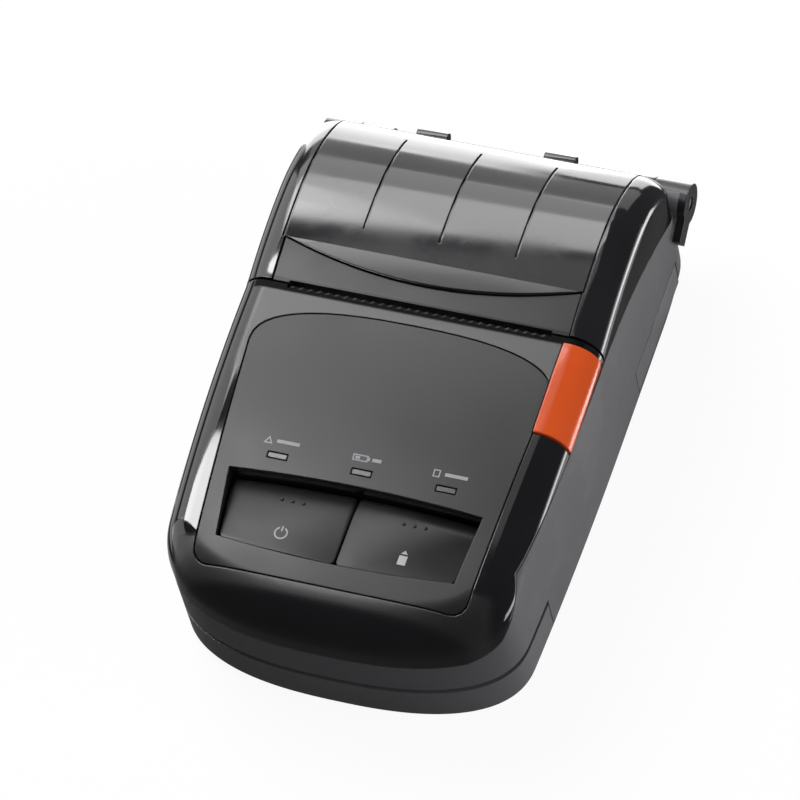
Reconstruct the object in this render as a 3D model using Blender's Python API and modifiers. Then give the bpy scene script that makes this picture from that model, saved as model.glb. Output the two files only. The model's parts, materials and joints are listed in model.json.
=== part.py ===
"""A pocket receipt printer with a clamshell paper cover, as separate working pieces.

Metres, +Z up. The printer lies on its base: +Y runs from the rounded nose to the hinge,
+X is the side with the open button and the sockets, and z = 0 is the underside.
"""
import math

import bpy
import bmesh
from mathutils import Matrix, Vector

PART_NAME = "portable_thermal_printer"

# Casing
BODY_WIDTH = 0.0800
WALL = 0.0018
GAP = 0.0003                    # between two pieces that seat on each other
RUNNING_GAP = 0.0003            # between a shaft and its bearing
OVERRUN = 0.0040                # how far a cutter passes the face that it cuts
WELD_DISTANCE = 0.000002
CROWN_BEHIND_SLOT = 0.0237      # from the paper slot back to that point
CROWN_REAR_RADIUS = 0.0330
SLOT_HEIGHT = 0.0414            # top face at the paper slot
CROWN_RISE = 0.0031             # from there up to the highest point of the paper cover
SLOT_FROM_NOSE = 0.0743
SLOT_FROM_REAR = 0.0507         # from the rear wall forward to the slot
FRONT_FALL = 0.0092             # how much lower the top face is at the nose
NOSE_REACH = 0.0180             # length of the rounded end in plan
NOSE_ROUNDNESS = 2.5            # exponent of the nose's superellipse
NOSE_TAPER = 0.0009             # loss of half width where the nose starts
TAPER_LENGTH = 0.0450
REAR_CORNER_RADIUS = 0.0078
BEZEL_RADIUS = 0.0063           # rounding of the glossy edge
NOSE_BEZEL_RADIUS = 0.0084
BASE_RADIUS = 0.0030
REAR_LIFT = 0.0062              # how far the underside rises to the rear wall
REAR_LIFT_LENGTH = 0.0200
SEAM_BELOW_SLOT = 0.0074        # parting line between the lower and the glossy shells
SEAM_NOSE_FALL = 0.0130
SEAM_BEND_LENGTH = 0.0150       # length over which the line drops towards the nose
SEAM_BEND_FROM_NOSE = 0.0060
SEAM_REAR_FALL = 0.0142
SEAM_FALL_LENGTH = 0.0515

# Paper cover and its hinge
COVER_GAP = 0.0006
HINGE_EAR_RADIUS = 0.0045
HINGE_AXIS_BEHIND_WALL = 0.0005
HINGE_AXIS_ABOVE_SEAM = 0.0002  # at the rear wall
HINGE_PIN_RADIUS = 0.0012
HINGE_EAR_WIDTH = 0.0080
HINGE_EAR_PROUD = 0.0018        # how far an ear stands out of the side
HINGE_KNUCKLE_WIDTH = 0.0070
HINGE_SPRING_LENGTH = 0.0062
HINGE_SPRING_RADIUS = 0.0028
HINGE_WIRE_RADIUS = 0.00035
ZONE_HALF_WIDTH = 0.0330        # ribbed middle of the cover
ZONE_LINE_WIDTH = 0.0005
ZONE_LINE_DEPTH = 0.0004
GROOVE_SPACING = 0.0170
GROOVE_COUNT = 3
GROOVE_FROM_LIP = 0.0050
GROOVE_LENGTH = 0.0270
LIP_SIDE_REACH = 0.0100         # matte lip, from the slot to its rear corners
LIP_MIDDLE_REACH = 0.0048
LIP_DROP = 0.0004
LIP_THICKNESS = 0.0020
LIP_FLANGE_REACH = 0.0030
LIP_FLANGE_THICKNESS = 0.0012
PAPER_SLOT_WIDTH = 0.0011
PAPER_WIDTH = 0.0580
REST_BUMP_RADIUS = 0.0016
REST_BUMP_WIDTH = 0.0070
REST_BUMP_SPACING = 0.0290

# Platen, on the cover
PLATEN_BEHIND_SLOT = 0.0062
PLATEN_BELOW_SLOT = 0.0099      # its axis
PLATEN_RADIUS = 0.0048
PLATEN_LENGTH = 0.0576
PLATEN_SHAFT_RADIUS = 0.0016
CHEEK_THICKNESS = 0.0015
CHEEK_RADIUS = 0.0032
BUSHING_WALL = 0.0010
BUSHING_COLLAR = 0.0001         # how far a bushing stands past its plate

# Print mechanism
PLATE_THICKNESS = 0.0016
FRAME_FRONT_FROM_SLOT = 0.0089
FRAME_DEPTH = 0.0206
FRAME_BELOW_SLOT = 0.0064
FRAME_WALL = 0.0012
HEAD_HEIGHT = 0.0100
HEAD_CERAMIC = 0.0008
HEAD_SINK = 0.0017
HEAD_PIVOT_BELOW_PLATEN = 0.0060
HEAD_PIN_RADIUS = 0.0010
HEAD_BARREL_RADIUS = 0.0021
HEAD_SPRING_RADIUS = 0.0018
HEAD_SPRING_WIRE = 0.0003
HEAD_SPRING_SPACING = 0.0320
HEAD_SPRING_TURNS = 4
GUIDE_THICKNESS = 0.0060
GUIDE_DEPTH = 0.0075
TEAR_BAR_THICKNESS = 0.0005
TEAR_BAR_HEIGHT = 0.0040
TEAR_TOOTH_PITCH = 0.0020
TEAR_TOOTH_HEIGHT = 0.0007

# Gear train, on the left
GEAR_MODULE = 0.0006
GEAR_BACKLASH = 0.00025
GEAR_SPREAD = 0.00010           # added to each centre distance
PLATEN_TEETH = 18
IDLER_TEETH = 26
REDUCTION_SMALL_TEETH = 14
REDUCTION_BIG_TEETH = 30
PINION_TEETH = 12
GEAR_WIDTH = 0.0014
GEAR_PIN_RADIUS = 0.0010
ADDENDUM_SHARE = 0.85           # of the module
DEDENDUM_SHARE = 1.25
PRESSURE_ANGLE = math.radians(20)
IDLER_ANGLE = math.radians(-120)      # from the platen to the idler, in the YZ plane
REDUCTION_ANGLE = math.radians(172)   # from the idler to the reduction gear
MOTOR_ANGLE = math.radians(183)       # from the reduction gear to the motor
MOTOR_RADIUS = 0.0075
MOTOR_LENGTH = 0.0160

# Latch and open button, button on the right
LATCH_ROD_RADIUS = 0.0012
LATCH_FROM_SLOT = 0.0051
LATCH_BELOW_PLATEN = 0.0045
HOOK_THICKNESS = 0.0011
HOOK_WIDTH = 0.0026
LEVER_REACH = 0.0082
LEVER_RISE = 0.0033
BUTTON_TRAVEL = 0.0010
BUTTON_LENGTH = 0.0217
BUTTON_FROM_SLOT = 0.0018
BUTTON_WIDTH = 0.0074
BUTTON_STAND = 0.0005
BUTTON_STEM = 0.0030
BUTTON_SPRING_RADIUS = 0.0016
BUTTON_SPRING_WIRE = 0.0003
BUTTON_SPRING_TURNS = 5

# Top panel, keys and lamps
PANEL_THICKNESS = 0.0010
PANEL_FROM_SLOT = 0.0046
PANEL_CORNER_DROP = 0.0105      # how far its rear corners lie in front of its rear middle
PANEL_HALF_WIDTH = 0.0330
PANEL_NOSE_HALF_WIDTH = 0.0300
PANEL_NOSE_CLEAR = 0.0090       # bare glossy nose in front of it
RECESS_FROM_SLOT = 0.0430
RECESS_LENGTH = 0.0175
RECESS_HALF_WIDTH = 0.0280
RECESS_NOSE_HALF_WIDTH = 0.0262
RECESS_BOW = 0.0012
RECESS_WALL = 0.0012
RECESS_FLOOR_BELOW_SLOT = 0.0098
KEY_TRAVEL = 0.0005
KEY_THICKNESS = 0.0022
KEY_STEM_LENGTH = 0.0080
KEY_STEM_DEPTH = 0.0050
KEY_BARB = 0.0010
LAMP_LENGTH = 0.0040
LAMP_DEPTH = 0.0010
LAMP_SPACING = 0.0186
LAMP_FROM_RECESS = 0.0031
LAMP_FLANGE = 0.0007

# Boards
BOARD_THICKNESS = 0.0012
SWITCH_SIZE = 0.0060
SWITCH_HEIGHT = 0.0035
SWITCH_PLUNGER_RADIUS = 0.0017
SWITCH_PLUNGER_HEIGHT = 0.0008
KEY_BOARD_HALF_WIDTH = 0.0240
KEY_BOARD_LENGTH = 0.0210
MAIN_BOARD_HALF_WIDTH = 0.0285
MAIN_BOARD_FROM_NOSE = 0.0090
MAIN_BOARD_LENGTH = 0.0300
STANDOFF_RADIUS = 0.0020
STANDOFF_HEIGHT = 0.0010
CHIP_SIZE = 0.0100
CHIP_HEIGHT = 0.0014
RADIO_LENGTH = 0.0160
RADIO_DEPTH = 0.0110
RADIO_HEIGHT = 0.0020
CONNECTOR_LENGTH = 0.0180
CONNECTOR_DEPTH = 0.0040
CONNECTOR_HEIGHT = 0.0024

# Battery pack, in the nose
PACK_HEIGHT = 0.0107
PACK_NOSE_LENGTH = 0.0280
PACK_LENGTH = 0.0730
PACK_HALF_WIDTH = 0.0300
BAY_ROOF = 0.0020
BAY_WALL = 0.0015
SHADOW_GROOVE_HEIGHT = 0.0012
SHADOW_GROOVE_DEPTH = 0.0012
PACK_GRIP_COUNT = 5
PACK_GRIP_PITCH = 0.0024
PACK_GRIP_DEPTH = 0.0005
PACK_GRIP_LENGTH = 0.0260
PACK_GRIP_FROM_NOSE = 0.0100
CONTACT_LENGTH = 0.0180
CONTACT_DEPTH = 0.0040
CONTACT_HEIGHT = 0.0056

# Paper bay
ROLL_BELOW_CROWN = 0.0095       # what the closed cover and the bay need of its height
BAY_RIB = 0.0014
BAY_RIB_BELOW_SEAM = 0.0020
BAY_FRONT_FROM_SLOT = 0.0130
BAY_FROM_REAR = 0.0022
ROLL_PLAY = 0.0005

# Sockets on the right
PORT_LENGTH = 0.0290
PORT_FROM_REAR = 0.0090
PORT_BASE = 0.0033
PORT_HEIGHT = 0.0073
PORT_COVER_THICKNESS = 0.0009
PORT_HINGE_RISE = 0.0004
USB_WIDTH = 0.0077
USB_HEIGHT = 0.0039
JACK_SIZE = 0.0062
JACK_BORE_RADIUS = 0.0024
JACK_PIN_RADIUS = 0.0007
SOCKET_DEPTH = 0.0052
SOCKET_SHELL = 0.0005
SOCKET_HOLLOW = 0.0042
SOCKET_FROM_END = 0.0080

# Screws, sensor and cover switch
SCREW_HEAD_RADIUS = 0.0021
SCREW_HEAD_HEIGHT = 0.0012
SCREW_RADIUS = 0.0010
SCREW_LENGTH = 0.0100
SCREW_INSET = 0.0056
SCREW_SOCKET_RADIUS = 0.0009
SCREW_BOSS_RADIUS = 0.0026
SCREW_BOSS_HEIGHT = 0.0034
FRONT_SCREW_FROM_NOSE = 0.0390
REAR_SCREW_BEHIND_SLOT = 0.0112
SENSOR_LENGTH = 0.0060
SENSOR_DEPTH = 0.0016
SENSOR_HEIGHT = 0.0020
COVER_SWITCH_LENGTH = 0.0058
COVER_SWITCH_HEIGHT = 0.0062
COVER_SWITCH_WIDTH = 0.0025

# Facets
NOSE_STEPS = 12
SIDE_STEPS = 15
CORNER_STEPS = 5
REAR_STEPS = 2
BEZEL_STEPS = 6
BASE_STEPS = 3
ARC_STEPS = 12
ROUND_SEGMENTS = 24
SMALL_SEGMENTS = 14

# Worked out from the sizes above
HALF_WIDTH = BODY_WIDTH / 2
BODY_LENGTH = SLOT_FROM_NOSE + SLOT_FROM_REAR
CROWN_HEIGHT = SLOT_HEIGHT + CROWN_RISE
SEAM_HEIGHT = SLOT_HEIGHT - SEAM_BELOW_SLOT
SEAM_NOSE_HEIGHT = SEAM_HEIGHT - SEAM_NOSE_FALL
HINGE_AXIS_HEIGHT = SEAM_HEIGHT - SEAM_REAR_FALL + HINGE_AXIS_ABOVE_SEAM
PLATEN_HEIGHT = SLOT_HEIGHT - PLATEN_BELOW_SLOT
FRAME_TOP = SLOT_HEIGHT - FRAME_BELOW_SLOT
LATCH_HEIGHT = PLATEN_HEIGHT - LATCH_BELOW_PLATEN
RECESS_FLOOR_HEIGHT = SLOT_HEIGHT - RECESS_FLOOR_BELOW_SLOT
BAY_LENGTH = SLOT_FROM_REAR - BAY_FRONT_FROM_SLOT - BAY_FROM_REAR
ROLL_DIAMETER = min(CROWN_HEIGHT - ROLL_BELOW_CROWN, BAY_LENGTH - ROLL_PLAY)
BAY_FRONT_HEIGHT = ROLL_DIAMETER / 4
HINGE_REACH = HINGE_AXIS_BEHIND_WALL + HINGE_EAR_RADIUS
NOSE_Y = -(BODY_LENGTH + HINGE_REACH) / 2
REAR_Y = NOSE_Y + BODY_LENGTH
SLOT_Y = NOSE_Y + SLOT_FROM_NOSE
CROWN_Y = SLOT_Y + CROWN_BEHIND_SLOT
NOSE_START_Y = NOSE_Y + NOSE_REACH
HINGE_Y = REAR_Y + HINGE_AXIS_BEHIND_WALL
PLATEN_Y = SLOT_Y + PLATEN_BEHIND_SLOT
INNER_HALF_WIDTH = HALF_WIDTH - WALL
RIBBON_HALF = PAPER_WIDTH / 2

ALONG_X = Matrix(((0, 0, 1), (1, 0, 0), (0, 1, 0)))   # outline (y, z), swept along x
ALONG_Y = Matrix(((1, 0, 0), (0, 0, 1), (0, 1, 0)))   # outline (x, z), swept along y
ALONG_Z = Matrix.Identity(3)                          # outline (x, y), swept along z

FINISHES = {
    "gloss_black": ((0.012, 0.012, 0.014), 0.12, 0.0),
    "matte_charcoal": ((0.060, 0.061, 0.065), 0.55, 0.0),
    "matte_panel": ((0.045, 0.046, 0.049), 0.48, 0.0),
    "orange": ((0.780, 0.090, 0.010), 0.25, 0.0),
    "key_black": ((0.030, 0.031, 0.034), 0.38, 0.0),
    "lamp": ((0.300, 0.320, 0.340), 0.20, 0.0),
    "rubber": ((0.030, 0.030, 0.032), 0.75, 0.0),
    "steel": ((0.560, 0.570, 0.580), 0.28, 1.0),
    "aluminium": ((0.700, 0.710, 0.720), 0.35, 1.0),
    "nylon_white": ((0.780, 0.770, 0.730), 0.50, 0.0),
    "nylon_black": ((0.035, 0.035, 0.036), 0.50, 0.0),
    "board_green": ((0.020, 0.150, 0.070), 0.45, 0.0),
    "ceramic": ((0.620, 0.600, 0.550), 0.30, 0.0),
    "gold": ((0.800, 0.580, 0.250), 0.30, 1.0),
}


def clear_scene():
    for existing in list(bpy.data.objects):
        bpy.data.objects.remove(existing, do_unlink=True)


def new_collection(name):
    collection = bpy.data.collections.new(name)
    bpy.context.scene.collection.children.link(collection)
    return collection


clear_scene()
PARTS = new_collection(PART_NAME)
CUTTERS = new_collection(PART_NAME + "_cutters")


def finish_material(name, finish):
    colour, roughness, metallic = FINISHES[finish]
    material = bpy.data.materials.new(name)
    material.use_nodes = True
    shader = material.node_tree.nodes["Principled BSDF"]
    shader.inputs["Base Color"].default_value = (*colour, 1.0)
    shader.inputs["Roughness"].default_value = roughness
    shader.inputs["Metallic"].default_value = metallic
    material.diffuse_color = (*colour, 1.0)
    return material


def add_object(name, mesh, finish=None, location=(0, 0, 0)):
    """Link a mesh as a part when it has a finish, and otherwise as a hidden cutter."""
    obj = bpy.data.objects.new(name, mesh)
    obj.location = location
    if finish:
        PARTS.objects.link(obj)
        mesh.materials.clear()
        mesh.materials.append(finish_material(name, finish))
    else:
        CUTTERS.objects.link(obj)
        obj.hide_render = True
        obj.display_type = "WIRE"
    return obj


def mesh_from(name, build):
    """Make a mesh from a function that fills a bmesh."""
    bm = bmesh.new()
    build(bm)
    bmesh.ops.recalc_face_normals(bm, faces=bm.faces)
    mesh = bpy.data.meshes.new(name)
    bm.to_mesh(mesh)
    bm.free()
    return mesh


def shade(obj, angle=math.radians(32)):
    obj.data.shade_smooth()
    obj.data.set_sharp_from_angle(angle=angle)
    return obj


def box(name, low, high, finish=None):
    """A block between two opposite corners."""
    size = Vector(high) - Vector(low)
    centre = (Vector(high) + Vector(low)) / 2

    def build(bm):
        bmesh.ops.create_cube(bm, size=1, matrix=Matrix.Diagonal((*size, 1)))

    return add_object(name, mesh_from(name, build), finish, centre)


def rod(name, radius, start, end, finish=None, segments=ROUND_SEGMENTS):
    """A round bar from one point to another along X, Y or Z."""
    start, end = Vector(start), Vector(end)
    turn = (end - start).to_track_quat("Z", "Y").to_matrix().to_4x4()

    def build(bm):
        bmesh.ops.create_cone(bm, cap_ends=True, segments=segments, radius1=radius,
                              radius2=radius, depth=(end - start).length, matrix=turn)

    return shade(add_object(name, mesh_from(name, build), finish, (start + end) / 2))


def mesh_of_curve(source):
    """Turn a curve object into a closed mesh, with its caps welded on."""
    bpy.context.view_layer.update()
    evaluated = source.evaluated_get(bpy.context.evaluated_depsgraph_get())
    mesh = bpy.data.meshes.new_from_object(evaluated)
    bm = bmesh.new()
    bm.from_mesh(mesh)
    bmesh.ops.remove_doubles(bm, verts=bm.verts, dist=WELD_DISTANCE)
    bmesh.ops.recalc_face_normals(bm, faces=bm.faces)
    bm.to_mesh(mesh)
    bm.free()
    curve = source.data
    bpy.data.objects.remove(source)
    bpy.data.curves.remove(curve)
    return mesh


def curve_object(name, points, cyclic):
    """A POLY curve object through the given points."""
    curve = bpy.data.curves.new(name, "CURVE")
    curve.dimensions = "3D"
    spline = curve.splines.new("POLY")
    spline.points.add(len(points) - 1)
    for target, point in zip(spline.points, points):
        target.co = (*point, 1)
    spline.use_cyclic_u = cyclic
    source = bpy.data.objects.new(name + "_outline", curve)
    CUTTERS.objects.link(source)
    return source


def prism(name, outline, sweep, low, high, finish=None):
    """A flat outline swept from low to high along the axis that sweep points to."""
    source = curve_object(name, [(u, v, 0) for u, v in outline], True)
    source.data.dimensions = "2D"
    source.data.fill_mode = "BOTH"
    source.data.extrude = (high - low) / 2
    mesh = mesh_of_curve(source)
    middle = Matrix.Translation((0, 0, (high + low) / 2))
    mesh.transform(sweep.to_4x4() @ middle)
    if sweep.determinant() < 0:
        mesh.flip_normals()
    return shade(add_object(name, mesh, finish))


def tube(name, points, radius, finish=None):
    """A wire of one thickness through the points."""
    source = curve_object(name, points, False)
    source.data.bevel_depth = radius
    source.data.bevel_resolution = 1
    source.data.use_fill_caps = True
    return shade(add_object(name, mesh_of_curve(source), finish), math.radians(60))


def boolean(target, others, operation):
    for other in others:
        modifier = target.modifiers.new(other.name, "BOOLEAN")
        modifier.operation = operation
        modifier.solver = "EXACT"
        modifier.object = other
    return target


def cut(target, *others):
    return boolean(target, others, "DIFFERENCE")


def join(target, *others):
    return boolean(target, others, "UNION")


def keep(target, *others):
    return boolean(target, others, "INTERSECT")


def soften(target, width, segments=2, angle=math.radians(50)):
    """Round the sharp edges of a piece."""
    modifier = target.modifiers.new("edges", "BEVEL")
    modifier.width = width
    modifier.segments = segments
    modifier.limit_method = "ANGLE"
    modifier.angle_limit = angle
    return target


def carry(name, location, parts):
    """Hang the parts of one moving body on an empty that stands on its joint's axis."""
    empty = bpy.data.objects.new(name, None)
    empty.location = location
    PARTS.objects.link(empty)
    for part in parts:
        part.parent = empty
        part.matrix_parent_inverse = Matrix.Translation(-Vector(location))
    return empty


def arc(centre, radius, start, end, steps):
    """Points of a circular arc, angles in radians."""
    return [(centre[0] + radius * math.cos(start + (end - start) * i / steps),
             centre[1] + radius * math.sin(start + (end - start) * i / steps))
            for i in range(steps + 1)]


def smooth_step(t):
    t = min(max(t, 0.0), 1.0)
    return t * t * (3 - 2 * t)


# The casing's form: heights along the length, and the outline in plan

def half_width(y):
    """Half the width at its widest height, without the nose's rounding."""
    t = max(SLOT_Y - y, 0.0) / TAPER_LENGTH
    return HALF_WIDTH - NOSE_TAPER * t * t


def top_height(y):
    """The top face on the middle line."""
    if y > CROWN_Y:
        back = min(y - CROWN_Y, CROWN_REAR_RADIUS)
        return CROWN_HEIGHT - CROWN_REAR_RADIUS + math.sqrt(CROWN_REAR_RADIUS ** 2 - back ** 2)
    if y > SLOT_Y:
        t = (CROWN_Y - y) / CROWN_BEHIND_SLOT
        return CROWN_HEIGHT - (CROWN_HEIGHT - SLOT_HEIGHT) * t * t
    t = (SLOT_Y - y) / SLOT_FROM_NOSE
    return SLOT_HEIGHT - FRONT_FALL * t * t


def base_height(y):
    t = max(y - (REAR_Y - REAR_LIFT_LENGTH), 0.0) / REAR_LIFT_LENGTH
    return REAR_LIFT * t * t


def seam_height(y):
    """The parting line under the glossy edge."""
    bend_end = NOSE_Y + SEAM_BEND_FROM_NOSE
    nose = smooth_step((bend_end + SEAM_BEND_LENGTH - y) / SEAM_BEND_LENGTH)
    rear = max(y - (REAR_Y - SEAM_FALL_LENGTH), 0.0) / SEAM_FALL_LENGTH
    return (SEAM_HEIGHT - (SEAM_HEIGHT - SEAM_NOSE_HEIGHT) * nose
            - SEAM_REAR_FALL * rear * rear)


def bezel_radius(y):
    """The glossy edge is rounder at the nose."""
    t = smooth_step((NOSE_START_Y - y) / (NOSE_REACH / 2))
    return BEZEL_RADIUS + (NOSE_BEZEL_RADIUS - BEZEL_RADIUS) * t


def plan_half():
    """Half of the outline in plan, from the nose's tip to the middle of the rear wall."""
    points = []
    for i in range(NOSE_STEPS + 1):
        turn = math.pi / 2 * (1 - i / NOSE_STEPS)
        y = NOSE_START_Y - NOSE_REACH * math.sin(turn) ** (2 / NOSE_ROUNDNESS)
        points.append((half_width(y) * math.cos(turn) ** (2 / NOSE_ROUNDNESS), y))
    points[0] = (0.0, NOSE_Y)
    corner_y = REAR_Y - REAR_CORNER_RADIUS
    for i in range(1, SIDE_STEPS + 1):
        y = NOSE_START_Y + (corner_y - NOSE_START_Y) * i / SIDE_STEPS
        points.append((half_width(y), y))
    centre = (HALF_WIDTH - REAR_CORNER_RADIUS, corner_y)
    points += arc(centre, REAR_CORNER_RADIUS, 0, math.pi / 2, CORNER_STEPS)[1:]
    for i in range(1, REAR_STEPS + 1):
        points.append((centre[0] * (1 - i / REAR_STEPS), REAR_Y))
    return points


def plan_normals(points):
    """Outward directions at the outline's points, square to the plane of symmetry at its ends."""
    ahead = [(-points[1][0], points[1][1])]
    behind = [(-points[-2][0], points[-2][1])]
    padded = ahead + points + behind
    normals = []
    for before, after in zip(padded, padded[2:]):
        along = Vector((after[0] - before[0], after[1] - before[1])).normalized()
        normals.append((along.y, -along.x))
    return normals


def inset_plan(distance):
    """The half outline moved inwards."""
    points = plan_half()
    moved = [(x - distance * nx, y - distance * ny)
             for (x, y), (nx, ny) in zip(points, plan_normals(points))]
    return [(max(x, 0.0), y) for x, y in moved]


def body_mesh(name, inset, coarse=False):
    """The whole casing as one solid, or a smaller one inside it at an even distance."""
    bezel_steps = BEZEL_STEPS // 2 if coarse else BEZEL_STEPS
    points = plan_half()
    normals = plan_normals(points)

    def ring(turn, upper):
        placed = []
        for (x, y), (nx, ny) in zip(points, normals):
            radius = bezel_radius(y) - inset if upper else max(BASE_RADIUS - inset, GAP)
            move = inset + radius * (1 - math.cos(turn))
            px, py = max(x - nx * move, 0.0), y - ny * move
            if upper:
                z = top_height(py) - inset - radius * (1 - math.sin(turn))
            else:
                z = base_height(py) + inset + radius * (1 - math.sin(turn))
            placed.append((px, py, z))
        placed[0] = (0.0, placed[0][1], placed[0][2])
        placed[-1] = (0.0, placed[-1][1], placed[-1][2])
        return placed

    quarter = math.pi / 2
    rings = [ring(quarter * (1 - i / BASE_STEPS), False) for i in range(BASE_STEPS + 1)]
    rings += [ring(quarter * i / bezel_steps, True) for i in range(bezel_steps + 1)]
    rings.insert(0, [(0.0, y, z) for _, y, z in rings[0]])
    rings.append([(0.0, y, z) for _, y, z in rings[-1]])

    def build(bm):
        grid = [[bm.verts.new(point) for point in row] for row in rings]
        for lower, upper in zip(grid, grid[1:]):
            for i in range(len(points) - 1):
                bm.faces.new((lower[i], lower[i + 1], upper[i + 1], upper[i]))
        bmesh.ops.remove_doubles(bm, verts=bm.verts, dist=WELD_DISTANCE)

    half = add_object(name + "_half", mesh_from(name, build))
    mirror = half.modifiers.new("other side", "MIRROR")
    mirror.merge_threshold = WELD_DISTANCE
    bpy.context.view_layer.update()
    evaluated = half.evaluated_get(bpy.context.evaluated_depsgraph_get())
    mesh = bpy.data.meshes.new_from_object(evaluated)
    mesh.name = name
    mesh.shade_smooth()
    bpy.data.objects.remove(half)
    return mesh


def profile(height, start, end, steps):
    """Points (y, z) of a height along the length."""
    return [(start + (end - start) * i / steps, height(start + (end - start) * i / steps))
            for i in range(steps + 1)]


def both_sides(points):
    """Close a half outline in plan with its mirror image."""
    return points + [(-x, y) for x, y in reversed(points) if x > WELD_DISTANCE]


# Cutters that follow the casing

OUTER = body_mesh("casing_outer", 0.0)
INNER = body_mesh("casing_inner", WALL, coarse=True)
FAR_BACK_Y = HINGE_Y + HINGE_EAR_RADIUS + OVERRUN
FAR_FRONT_Y = NOSE_Y - OVERRUN
FAR_HALF_WIDTH = HALF_WIDTH + OVERRUN
FAR_TOP = CROWN_HEIGHT + OVERRUN


def below_top(name, depth):
    """The casing lowered by a depth, so that what it leaves of a prism is that deep."""
    return add_object(name, OUTER.copy(), location=(0, 0, -depth))


def surface_pocket(name, outline, depth):
    """A cutter for a pocket of even depth in the top face."""
    block = prism(name, outline, ALONG_Z, BODY_FLOOR_TOP, FAR_TOP)
    return cut(block, below_top(name + "_floor", depth))


def surface_plate(name, outline, drop, thickness, finish=None):
    """A plate that follows the top face, with its top at a drop below it."""
    plate = prism(name, outline, ALONG_Z, BODY_FLOOR_TOP, FAR_TOP, finish)
    keep(plate, below_top(name + "_top", drop))
    return cut(plate, below_top(name + "_bottom", drop + thickness))


def under_seam(name, shift):
    """Everything under the parting line, moved by a shift."""
    line = profile(lambda y: seam_height(y) + shift, NOSE_Y, REAR_Y, ARC_STEPS * 2)
    outline = [(FAR_FRONT_Y, line[0][1])] + line + [(FAR_BACK_Y, line[-1][1])]
    outline += [(FAR_BACK_Y, -OVERRUN), (FAR_FRONT_Y, -OVERRUN)]
    return prism(name, outline, ALONG_X, -FAR_HALF_WIDTH, FAR_HALF_WIDTH)


BODY_FLOOR_TOP = WALL
PACK_REAR_Y = NOSE_Y + PACK_LENGTH
PACK_NOSE_REAR_Y = NOSE_Y + PACK_NOSE_LENGTH
ROOF_BASE = PACK_HEIGHT + GAP
ROOF_TOP = ROOF_BASE + BAY_ROOF
BAY_FRONT_Y = SLOT_Y + BAY_FRONT_FROM_SLOT
BAY_REAR_Y = BAY_FRONT_Y + BAY_LENGTH
FRAME_FRONT_Y = SLOT_Y - FRAME_FRONT_FROM_SLOT
FRAME_REAR_Y = FRAME_FRONT_Y + FRAME_DEPTH
SCREW_X = HALF_WIDTH - SCREW_INSET
FRONT_SCREW_Y = NOSE_Y + FRONT_SCREW_FROM_NOSE
REAR_SCREW_Y = SLOT_Y + REAR_SCREW_BEHIND_SLOT
PORT_REAR_Y = REAR_Y - PORT_FROM_REAR
PORT_FRONT_Y = PORT_REAR_Y - PORT_LENGTH
PORT_MIDDLE = PORT_BASE + PORT_HEIGHT / 2
EAR_OUTER_X = HALF_WIDTH + HINGE_EAR_PROUD
EAR_INNER_X = EAR_OUTER_X - HINGE_EAR_WIDTH
KNUCKLE_OUTER_X = EAR_INNER_X - GAP
KNUCKLE_INNER_X = KNUCKLE_OUTER_X - HINGE_KNUCKLE_WIDTH
KNUCKLE_CLEAR_RADIUS = HINGE_EAR_RADIUS + GAP
PIN_BORE_RADIUS = HINGE_PIN_RADIUS + RUNNING_GAP


def hinge_rod(name, radius, start, end, segments=ROUND_SEGMENTS):
    return rod(name, radius, (start, HINGE_Y, HINGE_AXIS_HEIGHT), (end, HINGE_Y, HINGE_AXIS_HEIGHT),
               segments=segments)


def hinge_web(name, start, end, angle, reach):
    """A block that ties a hinge barrel to its shell, at an angle in the YZ plane."""
    away = Vector((math.cos(angle), math.sin(angle)))
    side = Vector((-away.y, away.x)) * HINGE_EAR_RADIUS / 2
    middle = Vector((HINGE_Y, HINGE_AXIS_HEIGHT))
    far = middle + away * reach
    outline = [tuple(middle + side), tuple(middle - side), tuple(far - side), tuple(far + side)]
    return prism(name, outline, ALONG_X, start, end)


def socket_places():
    """Middles of the two sockets along the length: small data socket in front, power behind."""
    return PORT_FRONT_Y + SOCKET_FROM_END, PORT_REAR_Y - SOCKET_FROM_END


def port_floor_x():
    return HALF_WIDTH - PORT_COVER_THICKNESS - GAP


def add_port_wall(case):
    """The shallow seat of the port cover, with a cut-out for each socket."""
    cut(case, box("port_seat", (port_floor_x(), PORT_FRONT_Y - GAP, PORT_BASE - GAP),
                  (HALF_WIDTH + OVERRUN, PORT_REAR_Y + GAP, PORT_BASE + PORT_HEIGHT + GAP)))
    usb_y, jack_y = socket_places()
    for name, y, width, height in (("usb_cutout", usb_y, USB_WIDTH, USB_HEIGHT),
                                   ("jack_cutout", jack_y, JACK_SIZE, JACK_SIZE)):
        cut(case, box(name, (INNER_HALF_WIDTH - WALL, y - width / 2 - GAP,
                             PORT_MIDDLE - height / 2 - GAP),
                      (HALF_WIDTH, y + width / 2 + GAP, PORT_MIDDLE + height / 2 + GAP)))


def screw_places():
    return [(side * SCREW_X, y) for y in (FRONT_SCREW_Y, REAR_SCREW_Y) for side in (-1, 1)]


def add_case_screw_bosses(case):
    for index, (x, y) in enumerate(screw_places()):
        join(case, rod(f"screw_boss_{index}", SCREW_BOSS_RADIUS + WALL / 2, (x, y, WALL / 2),
                       (x, y, SCREW_BOSS_HEIGHT)))
        cut(case, rod(f"screw_counterbore_{index}", SCREW_HEAD_RADIUS + GAP, (x, y, -OVERRUN),
                      (x, y, SCREW_HEAD_HEIGHT + GAP)),
            rod(f"screw_hole_{index}", SCREW_RADIUS + GAP, (x, y, -OVERRUN),
                (x, y, SCREW_BOSS_HEIGHT + OVERRUN), segments=SMALL_SEGMENTS))


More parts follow.
